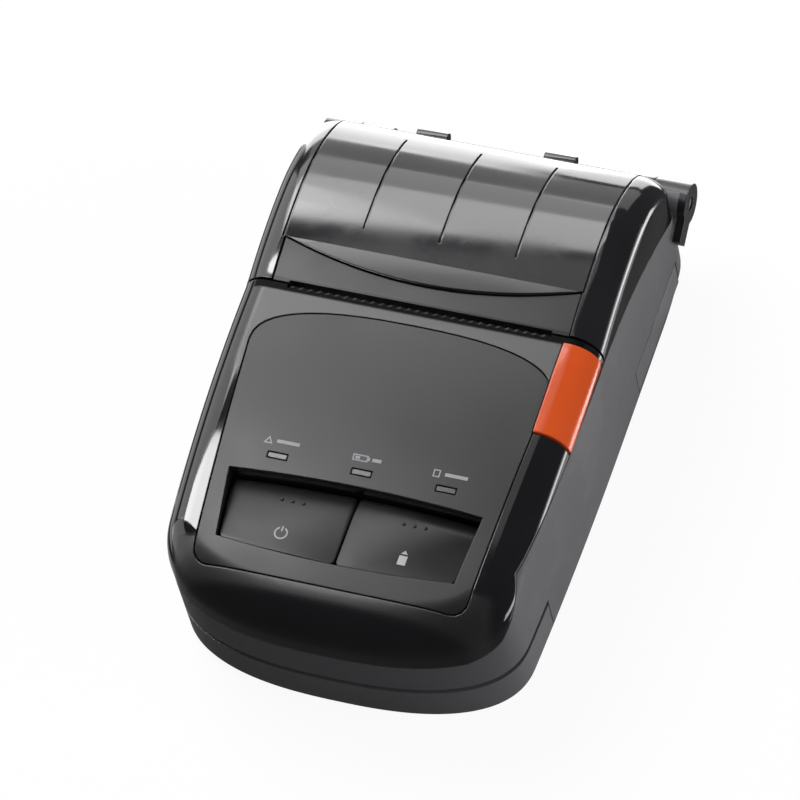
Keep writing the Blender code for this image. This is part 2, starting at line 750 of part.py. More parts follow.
def main_board_corners():
    """Where the main board stands on the roof of the battery bay."""
    front = NOSE_Y + MAIN_BOARD_FROM_NOSE
    rear = front + MAIN_BOARD_LENGTH
    reach = MAIN_BOARD_HALF_WIDTH - STANDOFF_RADIUS
    nose_reach = RECESS_NOSE_HALF_WIDTH - STANDOFF_RADIUS
    return [(side * x, y) for x, y in ((nose_reach, front + STANDOFF_RADIUS),
                                       (reach, rear - STANDOFF_RADIUS)) for side in (-1, 1)]


def add_case_posts(case):
    for index, (x, y) in enumerate(main_board_corners()):
        join(case, rod(f"standoff_{index}", STANDOFF_RADIUS, (x, y, ROOF_TOP - BAY_ROOF / 2),
                       (x, y, ROOF_TOP + STANDOFF_HEIGHT), segments=SMALL_SEGMENTS))
    reach = BUTTON_WIDTH / 2 - GAP
    join(case, box("button_spring_shelf",
                   (BUTTON_X - reach, BUTTON_SPRING_Y - reach, SHELF_TOP - WALL),
                   (HALF_WIDTH - WALL / 2, BUTTON_SPRING_Y + reach, SHELF_TOP)))


def lower_case():
    """The matte tub: battery bay in the nose, paper bay behind, hinge ears at the rear."""
    case = add_object("lower_case", OUTER.copy(), "matte_charcoal")
    keep(case, under_seam("lower_case_seam", -GAP / 2))
    cavity = add_object("lower_case_cavity", INNER.copy())
    bay_rear = PACK_REAR_Y + GAP + BAY_WALL
    bay_side = PACK_HALF_WIDTH + GAP + BAY_WALL
    nose_rear = PACK_NOSE_REAR_Y + GAP + BAY_WALL
    cut(cavity,
        box("bay_block", (-bay_side, FAR_FRONT_Y, -OVERRUN), (bay_side, bay_rear, ROOF_TOP)),
        box("bay_nose_block", (-FAR_HALF_WIDTH, FAR_FRONT_Y, -OVERRUN),
            (FAR_HALF_WIDTH, nose_rear, ROOF_TOP)))
    cut(case, cavity)

    pack_side = PACK_HALF_WIDTH + GAP
    cut(case,
        box("bay_nose_space", (-FAR_HALF_WIDTH, FAR_FRONT_Y, -OVERRUN),
            (FAR_HALF_WIDTH, PACK_NOSE_REAR_Y + GAP, ROOF_BASE)),
        box("bay_space", (-pack_side, FAR_FRONT_Y, -OVERRUN),
            (pack_side, PACK_REAR_Y + GAP, ROOF_BASE)))
    groove = box("shadow_groove", (-FAR_HALF_WIDTH, FAR_FRONT_Y, ROOF_BASE - GAP),
                 (FAR_HALF_WIDTH, PACK_NOSE_REAR_Y + GAP, ROOF_BASE + SHADOW_GROOVE_HEIGHT))
    cut(groove, prism("shadow_groove_core", both_sides(inset_plan(SHADOW_GROOVE_DEPTH)), ALONG_Z,
                      -OVERRUN, FAR_TOP))
    cut(case, groove)

    rib_x = RIBBON_HALF + GAP
    rib_line = profile(lambda y: seam_height(y) - BAY_RIB_BELOW_SEAM, BAY_FRONT_Y, BAY_REAR_Y,
                       ARC_STEPS // 2)
    rib_base = profile(lambda y: base_height(y) + WALL / 2, BAY_REAR_Y, BAY_FRONT_Y,
                       ARC_STEPS // 2)
    for side in (-1, 1):
        low, high = sorted((side * rib_x, side * (rib_x + BAY_RIB)))
        join(case, prism(f"bay_rib_{side}", rib_line + rib_base, ALONG_X, low, high))
    join(case, box("bay_front", (-rib_x - BAY_RIB / 2, BAY_FRONT_Y, WALL / 2),
                   (rib_x + BAY_RIB / 2, BAY_FRONT_Y + BAY_RIB, BAY_FRONT_HEIGHT)))

    for side in (-1, 1):
        low, high = sorted((side * (EAR_INNER_X - WALL), side * EAR_OUTER_X))
        join(case, hinge_web(f"ear_web_{side}", low, high, math.radians(205), HINGE_EAR_RADIUS * 2),
             hinge_rod(f"ear_{side}", HINGE_EAR_RADIUS, low, high))
        inner_end = KNUCKLE_INNER_X - GAP
        if side < 0:
            inner_end -= HINGE_SPRING_LENGTH + GAP
        low, high = sorted((side * inner_end, side * (KNUCKLE_OUTER_X + GAP)))
        cut(case, hinge_rod(f"knuckle_space_{side}", KNUCKLE_CLEAR_RADIUS, low, high),
            hinge_rod(f"ear_bore_{side}", PIN_BORE_RADIUS, side * (KNUCKLE_INNER_X),
                      side * (EAR_OUTER_X + OVERRUN), SMALL_SEGMENTS))

    add_port_wall(case)
    add_case_screw_bosses(case)
    add_case_posts(case)
    return case


def battery_pack():
    """The pack forms the nose's underside and slides out forwards."""
    pack = add_object("battery_pack", OUTER.copy(), "matte_charcoal")
    keep(pack, box("pack_nose", (-FAR_HALF_WIDTH, FAR_FRONT_Y, -OVERRUN),
                   (FAR_HALF_WIDTH, PACK_NOSE_REAR_Y, PACK_HEIGHT)))
    join(pack, box("pack_tongue", (-PACK_HALF_WIDTH, PACK_NOSE_REAR_Y - PACK_NOSE_LENGTH / 4, 0),
                   (PACK_HALF_WIDTH, PACK_REAR_Y, PACK_HEIGHT)))
    for i in range(PACK_GRIP_COUNT):
        y = NOSE_Y + PACK_GRIP_FROM_NOSE + i * PACK_GRIP_PITCH
        cut(pack, box(f"pack_grip_{i}", (-PACK_GRIP_LENGTH / 2, y, -OVERRUN),
                      (PACK_GRIP_LENGTH / 2, y + PACK_GRIP_PITCH / 2, PACK_GRIP_DEPTH)))
    return pack


def battery_contacts():
    """The contact block in the wall behind the pack."""
    base = (PACK_HEIGHT - CONTACT_HEIGHT) / 2
    front = PACK_REAR_Y + GAP
    return box("battery_contacts", (-CONTACT_LENGTH / 2, front, base),
               (CONTACT_LENGTH / 2, front + CONTACT_DEPTH, base + CONTACT_HEIGHT), "gold")


def contact_window(case):
    base = (PACK_HEIGHT - CONTACT_HEIGHT) / 2
    cut(case, box("contact_window", (-CONTACT_LENGTH / 2 - GAP, PACK_REAR_Y, base - GAP),
                  (CONTACT_LENGTH / 2 + GAP, PACK_REAR_Y + GAP + BAY_WALL + OVERRUN,
                   base + CONTACT_HEIGHT + GAP)))


# The glossy shell, its panel, keys and lamps

RECESS_REAR_Y = SLOT_Y - RECESS_FROM_SLOT
RECESS_FRONT_Y = RECESS_REAR_Y - RECESS_LENGTH
PANEL_POCKET = PANEL_THICKNESS + GAP
TEAR_BAR_HALF = RIBBON_HALF
TEAR_BAR_Y = SLOT_Y - COVER_GAP / 2 - TEAR_BAR_THICKNESS
TRAY_BASE = RECESS_FLOOR_HEIGHT - RECESS_WALL


def recess_outline(grow):
    """Outline of the key recess, bowed towards the rear and narrower at the nose."""
    rear = RECESS_REAR_Y + grow
    front = RECESS_FRONT_Y - grow
    half = []
    for i in range(ARC_STEPS // 2 + 1):
        t = i / (ARC_STEPS // 2)
        half.append(((RECESS_NOSE_HALF_WIDTH + grow) * t, front + RECESS_BOW * t * t))
    for i in range(ARC_STEPS // 2 + 1):
        t = 1 - i / (ARC_STEPS // 2)
        half.append(((RECESS_HALF_WIDTH + grow) * t, rear - RECESS_BOW * t * t))
    return both_sides(half)


def panel_outline(grow):
    """Outline of the matte panel: an arc at its rear and round corners at the nose."""
    rear = SLOT_Y - PANEL_FROM_SLOT + grow
    front = NOSE_Y + PANEL_NOSE_CLEAR - grow
    nose_half = PANEL_NOSE_HALF_WIDTH + grow
    corner = RECESS_BOW * 3
    half = [(0.0, front)]
    half += arc((nose_half - corner, front + corner), corner, -math.pi / 2, 0, ARC_STEPS // 3)
    for i in range(ARC_STEPS + 1):
        turn = math.pi / 2 * i / ARC_STEPS
        half.append(((PANEL_HALF_WIDTH + grow) * math.cos(turn) ** (2 / NOSE_ROUNDNESS),
                     rear - PANEL_CORNER_DROP * (1 - math.sin(turn) ** (2 / NOSE_ROUNDNESS))))
    return both_sides(half)


def lamp_places():
    y = RECESS_REAR_Y + LAMP_FROM_RECESS
    return [(name, i * LAMP_SPACING, y) for i, name in ((-1, "left"), (0, "middle"), (1, "right"))]


def lamp_box(name, x, y, grow, base, top, finish=None):
    half = LAMP_LENGTH / 2 + grow
    return box(name, (x - half, y - LAMP_DEPTH / 2 - grow, base),
               (x + half, y + LAMP_DEPTH / 2 + grow, top), finish)


def key_slots():
    """Middles of the two keys' stems."""
    y = (RECESS_REAR_Y + RECESS_FRONT_Y) / 2
    return [(name, side * RECESS_HALF_WIDTH / 2, y)
            for name, side in (("power_key", -1), ("feed_key", 1))]


def button_box(name, grow, base):
    """The open button's place in the right edge."""
    rear = SLOT_Y - BUTTON_FROM_SLOT + grow
    return box(name, (HALF_WIDTH - BUTTON_WIDTH - grow, rear - BUTTON_LENGTH - 2 * grow, base),
               (HALF_WIDTH + (OVERRUN if grow else 0), rear, FAR_TOP))


def upper_case():
    """The glossy shell round the nose and the keys."""
    case = add_object("upper_case", OUTER.copy(), "gloss_black")
    cut(case, under_seam("upper_case_seam", GAP / 2),
        box("upper_case_end", (-FAR_HALF_WIDTH, SLOT_Y - COVER_GAP / 2, -OVERRUN),
            (FAR_HALF_WIDTH, FAR_BACK_Y, FAR_TOP)),
        add_object("upper_case_cavity", INNER))
    tray = prism("key_tray", recess_outline(RECESS_WALL), ALONG_Z, TRAY_BASE, FAR_TOP)
    keep(tray, below_top("key_tray_top", PANEL_POCKET))
    join(case, tray)
    half = TEAR_BAR_HALF + GAP
    cut(case, box("tear_bar_space", (-half, TEAR_BAR_Y - GAP, TRAY_BASE),
                  (half, SLOT_Y + COVER_GAP, FAR_TOP)))
    cut(case, surface_pocket("panel_pocket", panel_outline(GAP), PANEL_POCKET),
        prism("key_recess", recess_outline(0.0), ALONG_Z, RECESS_FLOOR_HEIGHT, FAR_TOP))
    for name, x, y in key_slots():
        half = KEY_STEM_LENGTH / 2 + GAP
        depth = KEY_STEM_DEPTH / 2 + GAP
        cut(case, box(name + "_slot", (x - half, y - depth, TRAY_BASE - OVERRUN),
                      (x + half, y + depth, FAR_TOP)))
    for name, x, y in lamp_places():
        cut(case, lamp_box(f"lamp_hole_{name}", x, y, GAP, TRAY_BASE, FAR_TOP))
    add_long_bosses(case)
    add_key_board_bosses(case)
    cut(case, button_box("button_space", GAP, SEAM_HEIGHT - OVERRUN))
    return case


def add_long_bosses(case):
    """Tubes that take the two front screws, from the top wall down to the tub."""
    for index, (x, y) in enumerate(screw_places()[:2]):
        top = top_height(y) - BEZEL_RADIUS
        join(case, rod(f"long_boss_{index}", SCREW_BOSS_RADIUS, (x, y, SCREW_BOSS_HEIGHT + GAP),
                       (x, y, top)))
        join(case, box(f"long_boss_rib_{index}",
                       (x - SCREW_RADIUS, y - SCREW_BOSS_RADIUS, top - BEZEL_RADIUS),
                       (x + SCREW_RADIUS, y + SCREW_BOSS_RADIUS, top_height(y) - WALL / 2)))
        cut(case, rod(f"long_boss_bore_{index}", SCREW_RADIUS + GAP,
                      (x, y, 0), (x, y, SCREW_LENGTH + OVERRUN), segments=SMALL_SEGMENTS))


def key_board_top():
    """Upper face of the key board, under the switches that the keys press."""
    stem_end = TRAY_BASE - GAP - KEY_BARB
    return stem_end - KEY_TRAVEL - GAP - SWITCH_PLUNGER_HEIGHT - SWITCH_HEIGHT - GAP


def key_board_corners():
    y = (RECESS_REAR_Y + RECESS_FRONT_Y) / 2
    reach_x = KEY_BOARD_HALF_WIDTH - STANDOFF_RADIUS
    reach_y = KEY_BOARD_LENGTH / 2 - STANDOFF_RADIUS
    return [(i * reach_x, y + j * reach_y) for i in (-1, 1) for j in (-1, 1)]


def add_key_board_bosses(case):
    for index, (x, y) in enumerate(key_board_corners()):
        join(case, rod(f"key_board_boss_{index}", STANDOFF_RADIUS, (x, y, key_board_top() + GAP),
                       (x, y, TRAY_BASE + RECESS_WALL / 2), segments=SMALL_SEGMENTS))


def top_panel():
    """The matte inlay with its window for the keys."""
    panel = surface_plate("top_panel", panel_outline(0.0), 0.0, PANEL_THICKNESS, "matte_panel")
    cut(panel, prism("panel_window", recess_outline(0.0), ALONG_Z, BODY_FLOOR_TOP, FAR_TOP),
        button_box("panel_button_space", GAP, SEAM_HEIGHT - OVERRUN))
    for name, x, y in lamp_places():
        cut(panel, lamp_box(f"panel_lamp_hole_{name}", x, y, GAP, BODY_FLOOR_TOP, FAR_TOP))
    return panel


def lamps():
    """Three light pipes, flush in the panel and held by a flange under the top wall."""
    made = []
    for name, x, y in lamp_places():
        flange_top = top_height(y) - WALL - GAP - LAMP_DEPTH / 8
        lamp = lamp_box(f"lamp_{name}", x, y, 0.0, flange_top - LAMP_FLANGE, FAR_TOP, "lamp")
        keep(lamp, below_top(f"lamp_top_{name}", 0.0))
        join(lamp, lamp_box(f"lamp_flange_{name}", x, y, LAMP_FLANGE + GAP,
                            flange_top - LAMP_FLANGE, flange_top))
        made.append(lamp)
    return made


def key(name, x, y):
    """A key cap in its half of the recess, with a barbed stem through the floor."""
    side = -1 if x < 0 else 1
    base = RECESS_FLOOR_HEIGHT + GAP + KEY_TRAVEL
    cap = prism(name, recess_outline(-GAP), ALONG_Z, base, base + KEY_THICKNESS, "key_black")
    low, high = sorted((side * GAP / 2, side * FAR_HALF_WIDTH))
    keep(cap, box(name + "_half", (low, FAR_FRONT_Y, 0), (high, FAR_BACK_Y, FAR_TOP)))
    half, depth = KEY_STEM_LENGTH / 2, KEY_STEM_DEPTH / 2
    barb_top = TRAY_BASE - GAP
    stem_end = barb_top - KEY_BARB
    join(cap, box(name + "_stem", (x - half, y - depth, stem_end),
                  (x + half, y + depth, base + KEY_THICKNESS / 2)),
         box(name + "_barb", (x - half - KEY_BARB, y - depth, stem_end),
             (x + half + KEY_BARB, y + depth, barb_top)))
    carry(name + "_slide", (x, y, base), [cap])
    return cap


def key_board():
    """The small board that hangs under the keys, with its two switches."""
    top = key_board_top()
    y = (RECESS_REAR_Y + RECESS_FRONT_Y) / 2
    made = [box("key_board", (-KEY_BOARD_HALF_WIDTH, y - KEY_BOARD_LENGTH / 2, top - BOARD_THICKNESS),
                (KEY_BOARD_HALF_WIDTH, y + KEY_BOARD_LENGTH / 2, top), "board_green")]
    half = SWITCH_SIZE / 2
    for name, x, slot_y in key_slots():
        base = top + GAP
        switch = box(name.replace("key", "switch"), (x - half, slot_y - half, base),
                     (x + half, slot_y + half, base + SWITCH_HEIGHT), "nylon_black")
        join(switch, rod(name + "_plunger", SWITCH_PLUNGER_RADIUS,
                         (x, slot_y, base + SWITCH_HEIGHT / 2),
                         (x, slot_y, base + SWITCH_HEIGHT + SWITCH_PLUNGER_HEIGHT),
                         segments=SMALL_SEGMENTS))
        made.append(switch)
    return made


def main_board():
    """The main board on its standoffs, with a processor, a radio module and a connector."""
    front = NOSE_Y + MAIN_BOARD_FROM_NOSE
    rear = front + MAIN_BOARD_LENGTH
    base = ROOF_TOP + STANDOFF_HEIGHT + GAP
    top = base + BOARD_THICKNESS
    nose_half = RECESS_NOSE_HALF_WIDTH
    half = [(0.0, front), (nose_half, front), (MAIN_BOARD_HALF_WIDTH, front + MAIN_BOARD_LENGTH / 4),
            (MAIN_BOARD_HALF_WIDTH, rear), (0.0, rear)]
    board = prism("main_board", both_sides(half), ALONG_Z, base, top, "board_green")
    middle = (front + rear) / 2
    part_base = top + GAP
    chip = box("processor", (-CHIP_SIZE / 2, middle - CHIP_SIZE / 2, part_base),
               (CHIP_SIZE / 2, middle + CHIP_SIZE / 2, part_base + CHIP_HEIGHT), "nylon_black")
    radio_x = MAIN_BOARD_HALF_WIDTH - RADIO_DEPTH
    radio = box("radio_module", (radio_x, middle - RADIO_LENGTH / 2, part_base),
                (radio_x + RADIO_DEPTH, middle + RADIO_LENGTH / 2, part_base + RADIO_HEIGHT), "steel")
    connector = box("board_connector",
                    (-CONNECTOR_LENGTH / 2, rear - CONNECTOR_DEPTH - GAP, part_base),
                    (CONNECTOR_LENGTH / 2, rear - GAP, part_base + CONNECTOR_HEIGHT), "nylon_white")
    return [board, chip, radio, connector]


# Latch and open button

LATCH_Y = SLOT_Y - LATCH_FROM_SLOT
PLATE_INNER_X = PLATEN_LENGTH / 2 + GAP + CHEEK_THICKNESS + RUNNING_GAP + BUSHING_COLLAR
PLATE_OUTER_X = PLATE_INNER_X + PLATE_THICKNESS
HOOK_INNER_X = PLATE_OUTER_X + GAP
HOOK_OUTER_X = HOOK_INNER_X + HOOK_THICKNESS
BUTTON_BASE = SEAM_HEIGHT + BUTTON_TRAVEL
LEVER_TOP = LATCH_HEIGHT + LEVER_RISE
LEVER_Y = LATCH_Y - LEVER_REACH
BUTTON_SPRING_Y = SLOT_Y - BUTTON_FROM_SLOT - BUTTON_LENGTH + BUTTON_WIDTH / 2
BUTTON_X = HALF_WIDTH - BUTTON_WIDTH / 2 - BUTTON_STAND
SHELF_TOP = LATCH_HEIGHT


def open_button():
    """The coloured button in the glossy edge, with the stem that tips the latch."""
    button = add_object("open_button", body_mesh("button_form", -BUTTON_STAND, coarse=True),
                        "orange")
    keep(button, button_box("button_block", 0.0, BUTTON_BASE))
    cut(button, box("button_hook_relief", (0, LATCH_Y, 0),
                    (HOOK_OUTER_X + GAP, FAR_BACK_Y, BUTTON_BASE + BUTTON_TRAVEL * 2)))
    stem = BUTTON_STEM / 2
    join(button, box("button_stem", (BUTTON_X - stem, LEVER_Y - stem, LEVER_TOP + GAP),
                     (BUTTON_X + stem, LEVER_Y + stem, BUTTON_BASE + BUTTON_TRAVEL)))
    carry("open_button_slide", (BUTTON_X, LEVER_Y, LEVER_TOP), [button])
    return button


def helix(centre, radius, length, turns, direction, steps=8):
    """Points of a coil that starts at a centre and runs along X, Y or Z."""
    along = Vector(direction)
    across = Vector((along.z, along.x, along.y))
    other = along.cross(across)
    points = []
    for i in range(turns * steps + 1):
        turn = 2 * math.pi * i / steps
        points.append(Vector(centre) + along * (length * i / (turns * steps))
                      + (across * math.cos(turn) + other * math.sin(turn)) * radius)
    return points


def button_spring():
    """The coil that lifts the button, on a shelf of the tub's wall."""
    base = SHELF_TOP + GAP + BUTTON_SPRING_WIRE
    top = BUTTON_BASE - GAP - BUTTON_SPRING_WIRE
    return tube("button_spring", helix((BUTTON_X, BUTTON_SPRING_Y, base), BUTTON_SPRING_RADIUS,
                                       top - base, BUTTON_SPRING_TURNS, (0, 0, 1)),
                BUTTON_SPRING_WIRE, "steel")


def yz_bar(name, points, width, low, high):
    """A bar of one width through points in the YZ plane, as one outline swept along X."""
    left, right = [], []
    for i, point in enumerate(points):
        before = Vector(points[max(i - 1, 0)])
        after = Vector(points[min(i + 1, len(points) - 1)])
        along = (after - before).normalized()
        side = Vector((-along.y, along.x)) * width / 2
        left.append(tuple(Vector(point) + side))
        right.append(tuple(Vector(point) - side))
    return prism(name, left + right[::-1], ALONG_X, low, high)


def release_latch():
    """One bail: a cross rod, a hook at each end and the lever under the button."""
    latch = rod("release_latch", LATCH_ROD_RADIUS, (-HOOK_OUTER_X, LATCH_Y, LATCH_HEIGHT),
                (BUTTON_X + BUTTON_STEM / 2, LATCH_Y, LATCH_HEIGHT), "steel",
                segments=SMALL_SEGMENTS)
    shaft_front = PLATEN_Y - PLATEN_SHAFT_RADIUS
    elbow = (LATCH_Y + HOOK_WIDTH, PLATEN_HEIGHT + HOOK_WIDTH / 2)
    tip = (shaft_front - GAP, PLATEN_HEIGHT + PLATEN_SHAFT_RADIUS + HOOK_WIDTH / 2)
    for side in (-1, 1):
        low, high = sorted((side * HOOK_INNER_X, side * HOOK_OUTER_X))
        join(latch, yz_bar(f"hook_{side}", [(LATCH_Y, LATCH_HEIGHT), elbow, tip], HOOK_WIDTH,
                           low, high))
    low, high = BUTTON_X - BUTTON_STEM / 2, BUTTON_X + BUTTON_STEM / 2
    lever_end = (LEVER_Y - BUTTON_STEM / 2, LEVER_TOP - LATCH_ROD_RADIUS)
    lever_flat = (LEVER_Y + BUTTON_STEM, LEVER_TOP - LATCH_ROD_RADIUS)
    join(latch, yz_bar("lever", [(LATCH_Y, LATCH_HEIGHT), lever_flat, lever_end],
                       LATCH_ROD_RADIUS * 2, low, high))
    carry("latch_turn", (0, LATCH_Y, LATCH_HEIGHT), [latch])
    return latch


# Gear train and motor

PLANE_A = -(HOOK_OUTER_X + GAP)
PLANE_B = PLANE_A - GEAR_WIDTH - GAP
GEAR_BORE_RADIUS = GEAR_PIN_RADIUS + RUNNING_GAP


def step_from(centre, teeth, other_teeth, angle):
    """The axis of the next gear, at a mesh distance and an angle in the YZ plane."""
    distance = GEAR_MODULE * (teeth + other_teeth) / 2 + GEAR_SPREAD
    return centre[0] + distance * math.cos(angle), centre[1] + distance * math.sin(angle)


PLATEN_AXIS = (PLATEN_Y, PLATEN_HEIGHT)
IDLER_AXIS = step_from(PLATEN_AXIS, PLATEN_TEETH, IDLER_TEETH, IDLER_ANGLE)
REDUCTION_AXIS = step_from(IDLER_AXIS, IDLER_TEETH, REDUCTION_SMALL_TEETH, REDUCTION_ANGLE)
MOTOR_AXIS = step_from(REDUCTION_AXIS, REDUCTION_BIG_TEETH, PINION_TEETH, MOTOR_ANGLE)


def next_phase(phase, teeth, other_teeth, angle):
    """Where the next gear has a tooth, so that a gap faces the tooth of this one."""
    return angle + math.pi - (phase - angle) * teeth / other_teeth + math.pi / other_teeth


PLATEN_PHASE = IDLER_ANGLE
IDLER_PHASE = next_phase(PLATEN_PHASE, PLATEN_TEETH, IDLER_TEETH, IDLER_ANGLE)
REDUCTION_PHASE = next_phase(IDLER_PHASE, IDLER_TEETH, REDUCTION_SMALL_TEETH, REDUCTION_ANGLE)
PINION_PHASE = next_phase(0.0, REDUCTION_BIG_TEETH, PINION_TEETH, MOTOR_ANGLE)


def gear_outline(centre, teeth, phase):
    """An involute gear's outline, with a tooth centred on its phase angle."""
    pitch = GEAR_MODULE * teeth / 2
    base = pitch * math.cos(PRESSURE_ANGLE)
    root = pitch - GEAR_MODULE * DEDENDUM_SHARE
    tip = pitch + GEAR_MODULE * ADDENDUM_SHARE
    half_tooth = (math.pi / 2 - GEAR_BACKLASH / GEAR_MODULE) / teeth
    roll_at_pitch = math.tan(PRESSURE_ANGLE) - PRESSURE_ANGLE

    def flank(radius):
        if radius <= base:
            return half_tooth + roll_at_pitch
        turn = math.acos(base / radius)
        return half_tooth + roll_at_pitch - (math.tan(turn) - turn)

    start = max(base, root)
    radii = [root, (start + tip) / 2, tip]
    outline = []
    for i in range(teeth):
        middle = phase + 2 * math.pi * i / teeth
        for radius in radii:
            outline.append((radius, middle - flank(radius)))
        for radius in reversed(radii):
            outline.append((radius, middle + flank(radius)))
    return [(centre[0] + r * math.cos(a), centre[1] + r * math.sin(a)) for r, a in outline]


def gear(name, centre, teeth, phase, plane, bore, finish=None):
    """A gear whose inner face lies on a plane and whose width runs outwards from it."""
    wheel = prism(name, gear_outline(centre, teeth, phase), ALONG_X, plane - GEAR_WIDTH, plane,
                  finish)
    if bore:
        cut(wheel, rod(name + "_bore", bore, (plane - GEAR_WIDTH - OVERRUN, *centre),
                       (plane + OVERRUN, *centre), segments=SMALL_SEGMENTS))
    return wheel


def gear_train():
    idler = gear("idler_gear", IDLER_AXIS, IDLER_TEETH, IDLER_PHASE, PLANE_A, GEAR_BORE_RADIUS,
                 "nylon_white")
    small = gear("reduction_small", REDUCTION_AXIS, REDUCTION_SMALL_TEETH, REDUCTION_PHASE,
                 PLANE_A, 0)
    neck = rod("reduction_neck", GEAR_MODULE * REDUCTION_SMALL_TEETH / 3,
               (PLANE_A, *REDUCTION_AXIS), (PLANE_B - GEAR_WIDTH / 2, *REDUCTION_AXIS))
    reduction = gear("reduction_gear", REDUCTION_AXIS, REDUCTION_BIG_TEETH, 0.0, PLANE_B, 0,
                     "nylon_white")
    join(reduction, small, neck)
    cut(reduction, rod("reduction_bore", GEAR_BORE_RADIUS, (-FAR_HALF_WIDTH, *REDUCTION_AXIS),
                       (0, *REDUCTION_AXIS), segments=SMALL_SEGMENTS))
    pins = []
    for name, axis, end in (("idler_pin", IDLER_AXIS, PLANE_A - GEAR_WIDTH),
                            ("reduction_pin", REDUCTION_AXIS, PLANE_B - GEAR_WIDTH)):
        pins.append(rod(name, GEAR_PIN_RADIUS, (end, *axis), (-PLATE_INNER_X - GAP, *axis),
                        "steel", SMALL_SEGMENTS))
    pinion = gear("motor_pinion", MOTOR_AXIS, PINION_TEETH, PINION_PHASE, PLANE_B, 0, "steel")
    join(pinion, rod("motor_shaft", GEAR_PIN_RADIUS, (PLANE_B - GEAR_WIDTH / 2, *MOTOR_AXIS),
                     (-PLATE_INNER_X, *MOTOR_AXIS), segments=SMALL_SEGMENTS))
    motor_end = -(PLATE_INNER_X - GAP)
    motor = rod("motor", MOTOR_RADIUS, (motor_end, *MOTOR_AXIS),
                (motor_end + MOTOR_LENGTH, *MOTOR_AXIS), "steel")
    carry("idler_spin", (0, *IDLER_AXIS), [idler])
    carry("reduction_spin", (0, *REDUCTION_AXIS), [reduction])
    carry("motor_spin", (0, *MOTOR_AXIS), [pinion])
    return [idler, reduction, pinion, motor] + pins


# Mechanism frame and print head

FRAME_BASE = ROOF_TOP + GAP
LEG_FRONT_Y = PACK_REAR_Y + GAP + BAY_WALL + OVERRUN
LEG_BASE = SCREW_BOSS_HEIGHT + GAP
NOTCH_RADIUS = PLATEN_SHAFT_RADIUS + RUNNING_GAP + BUSHING_WALL + RUNNING_GAP
HEAD_FACE_Y = PLATEN_Y - PLATEN_RADIUS - GAP
SINK_REAR_Y = HEAD_FACE_Y - HEAD_CERAMIC - GAP
SINK_FRONT_Y = SINK_REAR_Y - HEAD_SINK
HEAD_PIVOT = (SINK_REAR_Y - HEAD_SINK / 2, PLATEN_HEIGHT - HEAD_PIVOT_BELOW_PLATEN)
HEAD_TOP = PLATEN_HEIGHT + HEAD_HEIGHT / 2
HEAD_HALF = PLATEN_LENGTH / 2


def sensor_corners(grow):
    """The paper sensor's place in the guide's rear edge."""
    top = PLATEN_HEIGHT - PLATEN_RADIUS + FRAME_WALL - GAP
    rear = FRAME_REAR_Y - GAP - FRAME_WALL / 4
    return ((SENSOR_LENGTH - grow, rear - SENSOR_DEPTH - grow, top - SENSOR_HEIGHT - grow),
            (SENSOR_LENGTH * 2 + grow, rear + grow, top))


def side_plate(name, side, finish=None):
    """A plate that carries the platen's bearing, with a leg down to its screw."""
    points = [(LEG_FRONT_Y, FRAME_BASE), (LEG_FRONT_Y, LEG_BASE), (FRAME_REAR_Y, LEG_BASE),
              (FRAME_REAR_Y, FRAME_TOP), (FRAME_FRONT_Y, FRAME_TOP)]
    if side < 0:
        front = MOTOR_AXIS[0] - MOTOR_RADIUS
        top = MOTOR_AXIS[1] + MOTOR_RADIUS
        points += [(FRAME_FRONT_Y, top), (front, top), (front, FRAME_BASE)]
    else:
        points += [(FRAME_FRONT_Y, FRAME_BASE)]
    low, high = sorted((side * PLATE_INNER_X, side * PLATE_OUTER_X))
    return prism(name, points, ALONG_X, low, high, finish)


